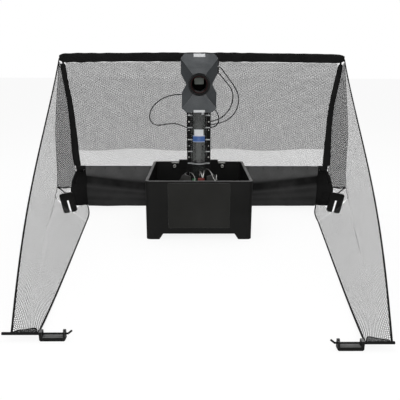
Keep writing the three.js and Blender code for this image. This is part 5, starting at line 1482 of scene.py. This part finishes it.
class BALLROBOT_OT_screws(Operator):
    """Make the screws of the rails and the head, and the bracket's rings"""

    bl_idname = "ballrobot.screws"
    bl_label = "Screws"

    def execute(self, context):
        rails = [(x, -9, z) for x in (-32.15, 32.15) for z in (233.4, 350.6)]
        self.row("rail_screws", rails, (0, -1, 0), 0.0027, "stand")
        back = [(x, -68, EXIT_HEIGHT + z) for x, z in ((-34, 78), (34, 78), (-34, -62), (34, -62))]
        self.row("head_screws", back, (0, 1, 0), 0.0022, "head")
        self.bracket_rings()
        return {"FINISHED"}

    def bracket_rings(self):
        """Steel rings on the bracket's ears, its ears' bare upper edges and its end caps."""
        turn = turns(33, closed=True)
        cap = [(0.0028, 0.0), (0.0028, 0.0016), (0.002, 0.0024), (0, 0.0026)]
        parts = []
        for side in (-1, 1):
            x, z = side * 88 + 4.4 * np.cos(turn), 172 + 4.4 * np.sin(turn)
            parts.append(tube_mesh(on_robot(np.stack([x, np.full(33, 144.6), z], -1)), 0.0014, 10))
            edge = on_robot([(side * x, 150.6, 183.5) for x in (71.8, 85, 98.6)])
            parts.append(tube_mesh(evenly(edge, 12), 0.0009, 8))
            parts.append(turned_mesh(cap, on_robot((side * 71, 152, 189.5)), (side, 0, 0), 20))
        make_piece("bracket_rings", joined(parts), "steel")

    def row(self, name, places, way, r, body):
        """Round-headed screws of radius r, each with a round recess."""
        dome = [(r * 0.98, -0.0002), (r, 0.0003), (r * 0.94, 0.0009), (r * 0.75, 0.0014)]
        dome += [(r * 0.45, 0.0016), (r * 0.42, 0.0009), (r * 0.2, 0.0007), (0, 0.0007)]
        heads = [turned_mesh(dome, on_robot(place), way, 24) for place in places]
        make_piece(name, joined(heads), "steel", body=body)


# The panel and the run

MAKERS = (
    BALLROBOT_OT_stage,
    BALLROBOT_OT_cables,
    BALLROBOT_OT_uprights,
    BALLROBOT_OT_rail_sleeve,
    BALLROBOT_OT_back_nets,
    BALLROBOT_OT_wings,
    BALLROBOT_OT_trough,
    BALLROBOT_OT_trough_ends,
    BALLROBOT_OT_bucket,
    BALLROBOT_OT_column,
    BALLROBOT_OT_head,
    BALLROBOT_OT_clips,
    BALLROBOT_OT_screws,
)


class BALLROBOT_PT_makers(Panel):
    """The robot's pieces, in the order in which they are made"""

    bl_label = "Ball Robot"
    bl_idname = "BALLROBOT_PT_makers"
    bl_space_type = "VIEW_3D"
    bl_region_type = "UI"
    bl_category = "Ball Robot"

    def draw(self, context):
        for group in (context.scene.net_sizes, context.scene.part_colours, context.scene.stage_sizes):
            box = self.layout.box()
            for name in group.__annotations__:
                box.prop(group, name)
        for maker in MAKERS:
            self.layout.operator(maker.bl_idname)


CLASSES = (NetSizes, PartColours, StageSizes, *MAKERS, BALLROBOT_PT_makers)


def register():
    for made in CLASSES:
        bpy.utils.register_class(made)
    bpy.types.Scene.net_sizes = PointerProperty(type=NetSizes)
    bpy.types.Scene.part_colours = PointerProperty(type=PartColours)
    bpy.types.Scene.stage_sizes = PointerProperty(type=StageSizes)


def unregister():
    del bpy.types.Scene.stage_sizes
    del bpy.types.Scene.part_colours
    del bpy.types.Scene.net_sizes
    for made in reversed(CLASSES):
        bpy.utils.unregister_class(made)


def main():
    register()
    for maker in MAKERS:
        group, name = maker.bl_idname.split(".")
        getattr(getattr(bpy.ops, group), name)()


if __name__ == "__main__":
    main()
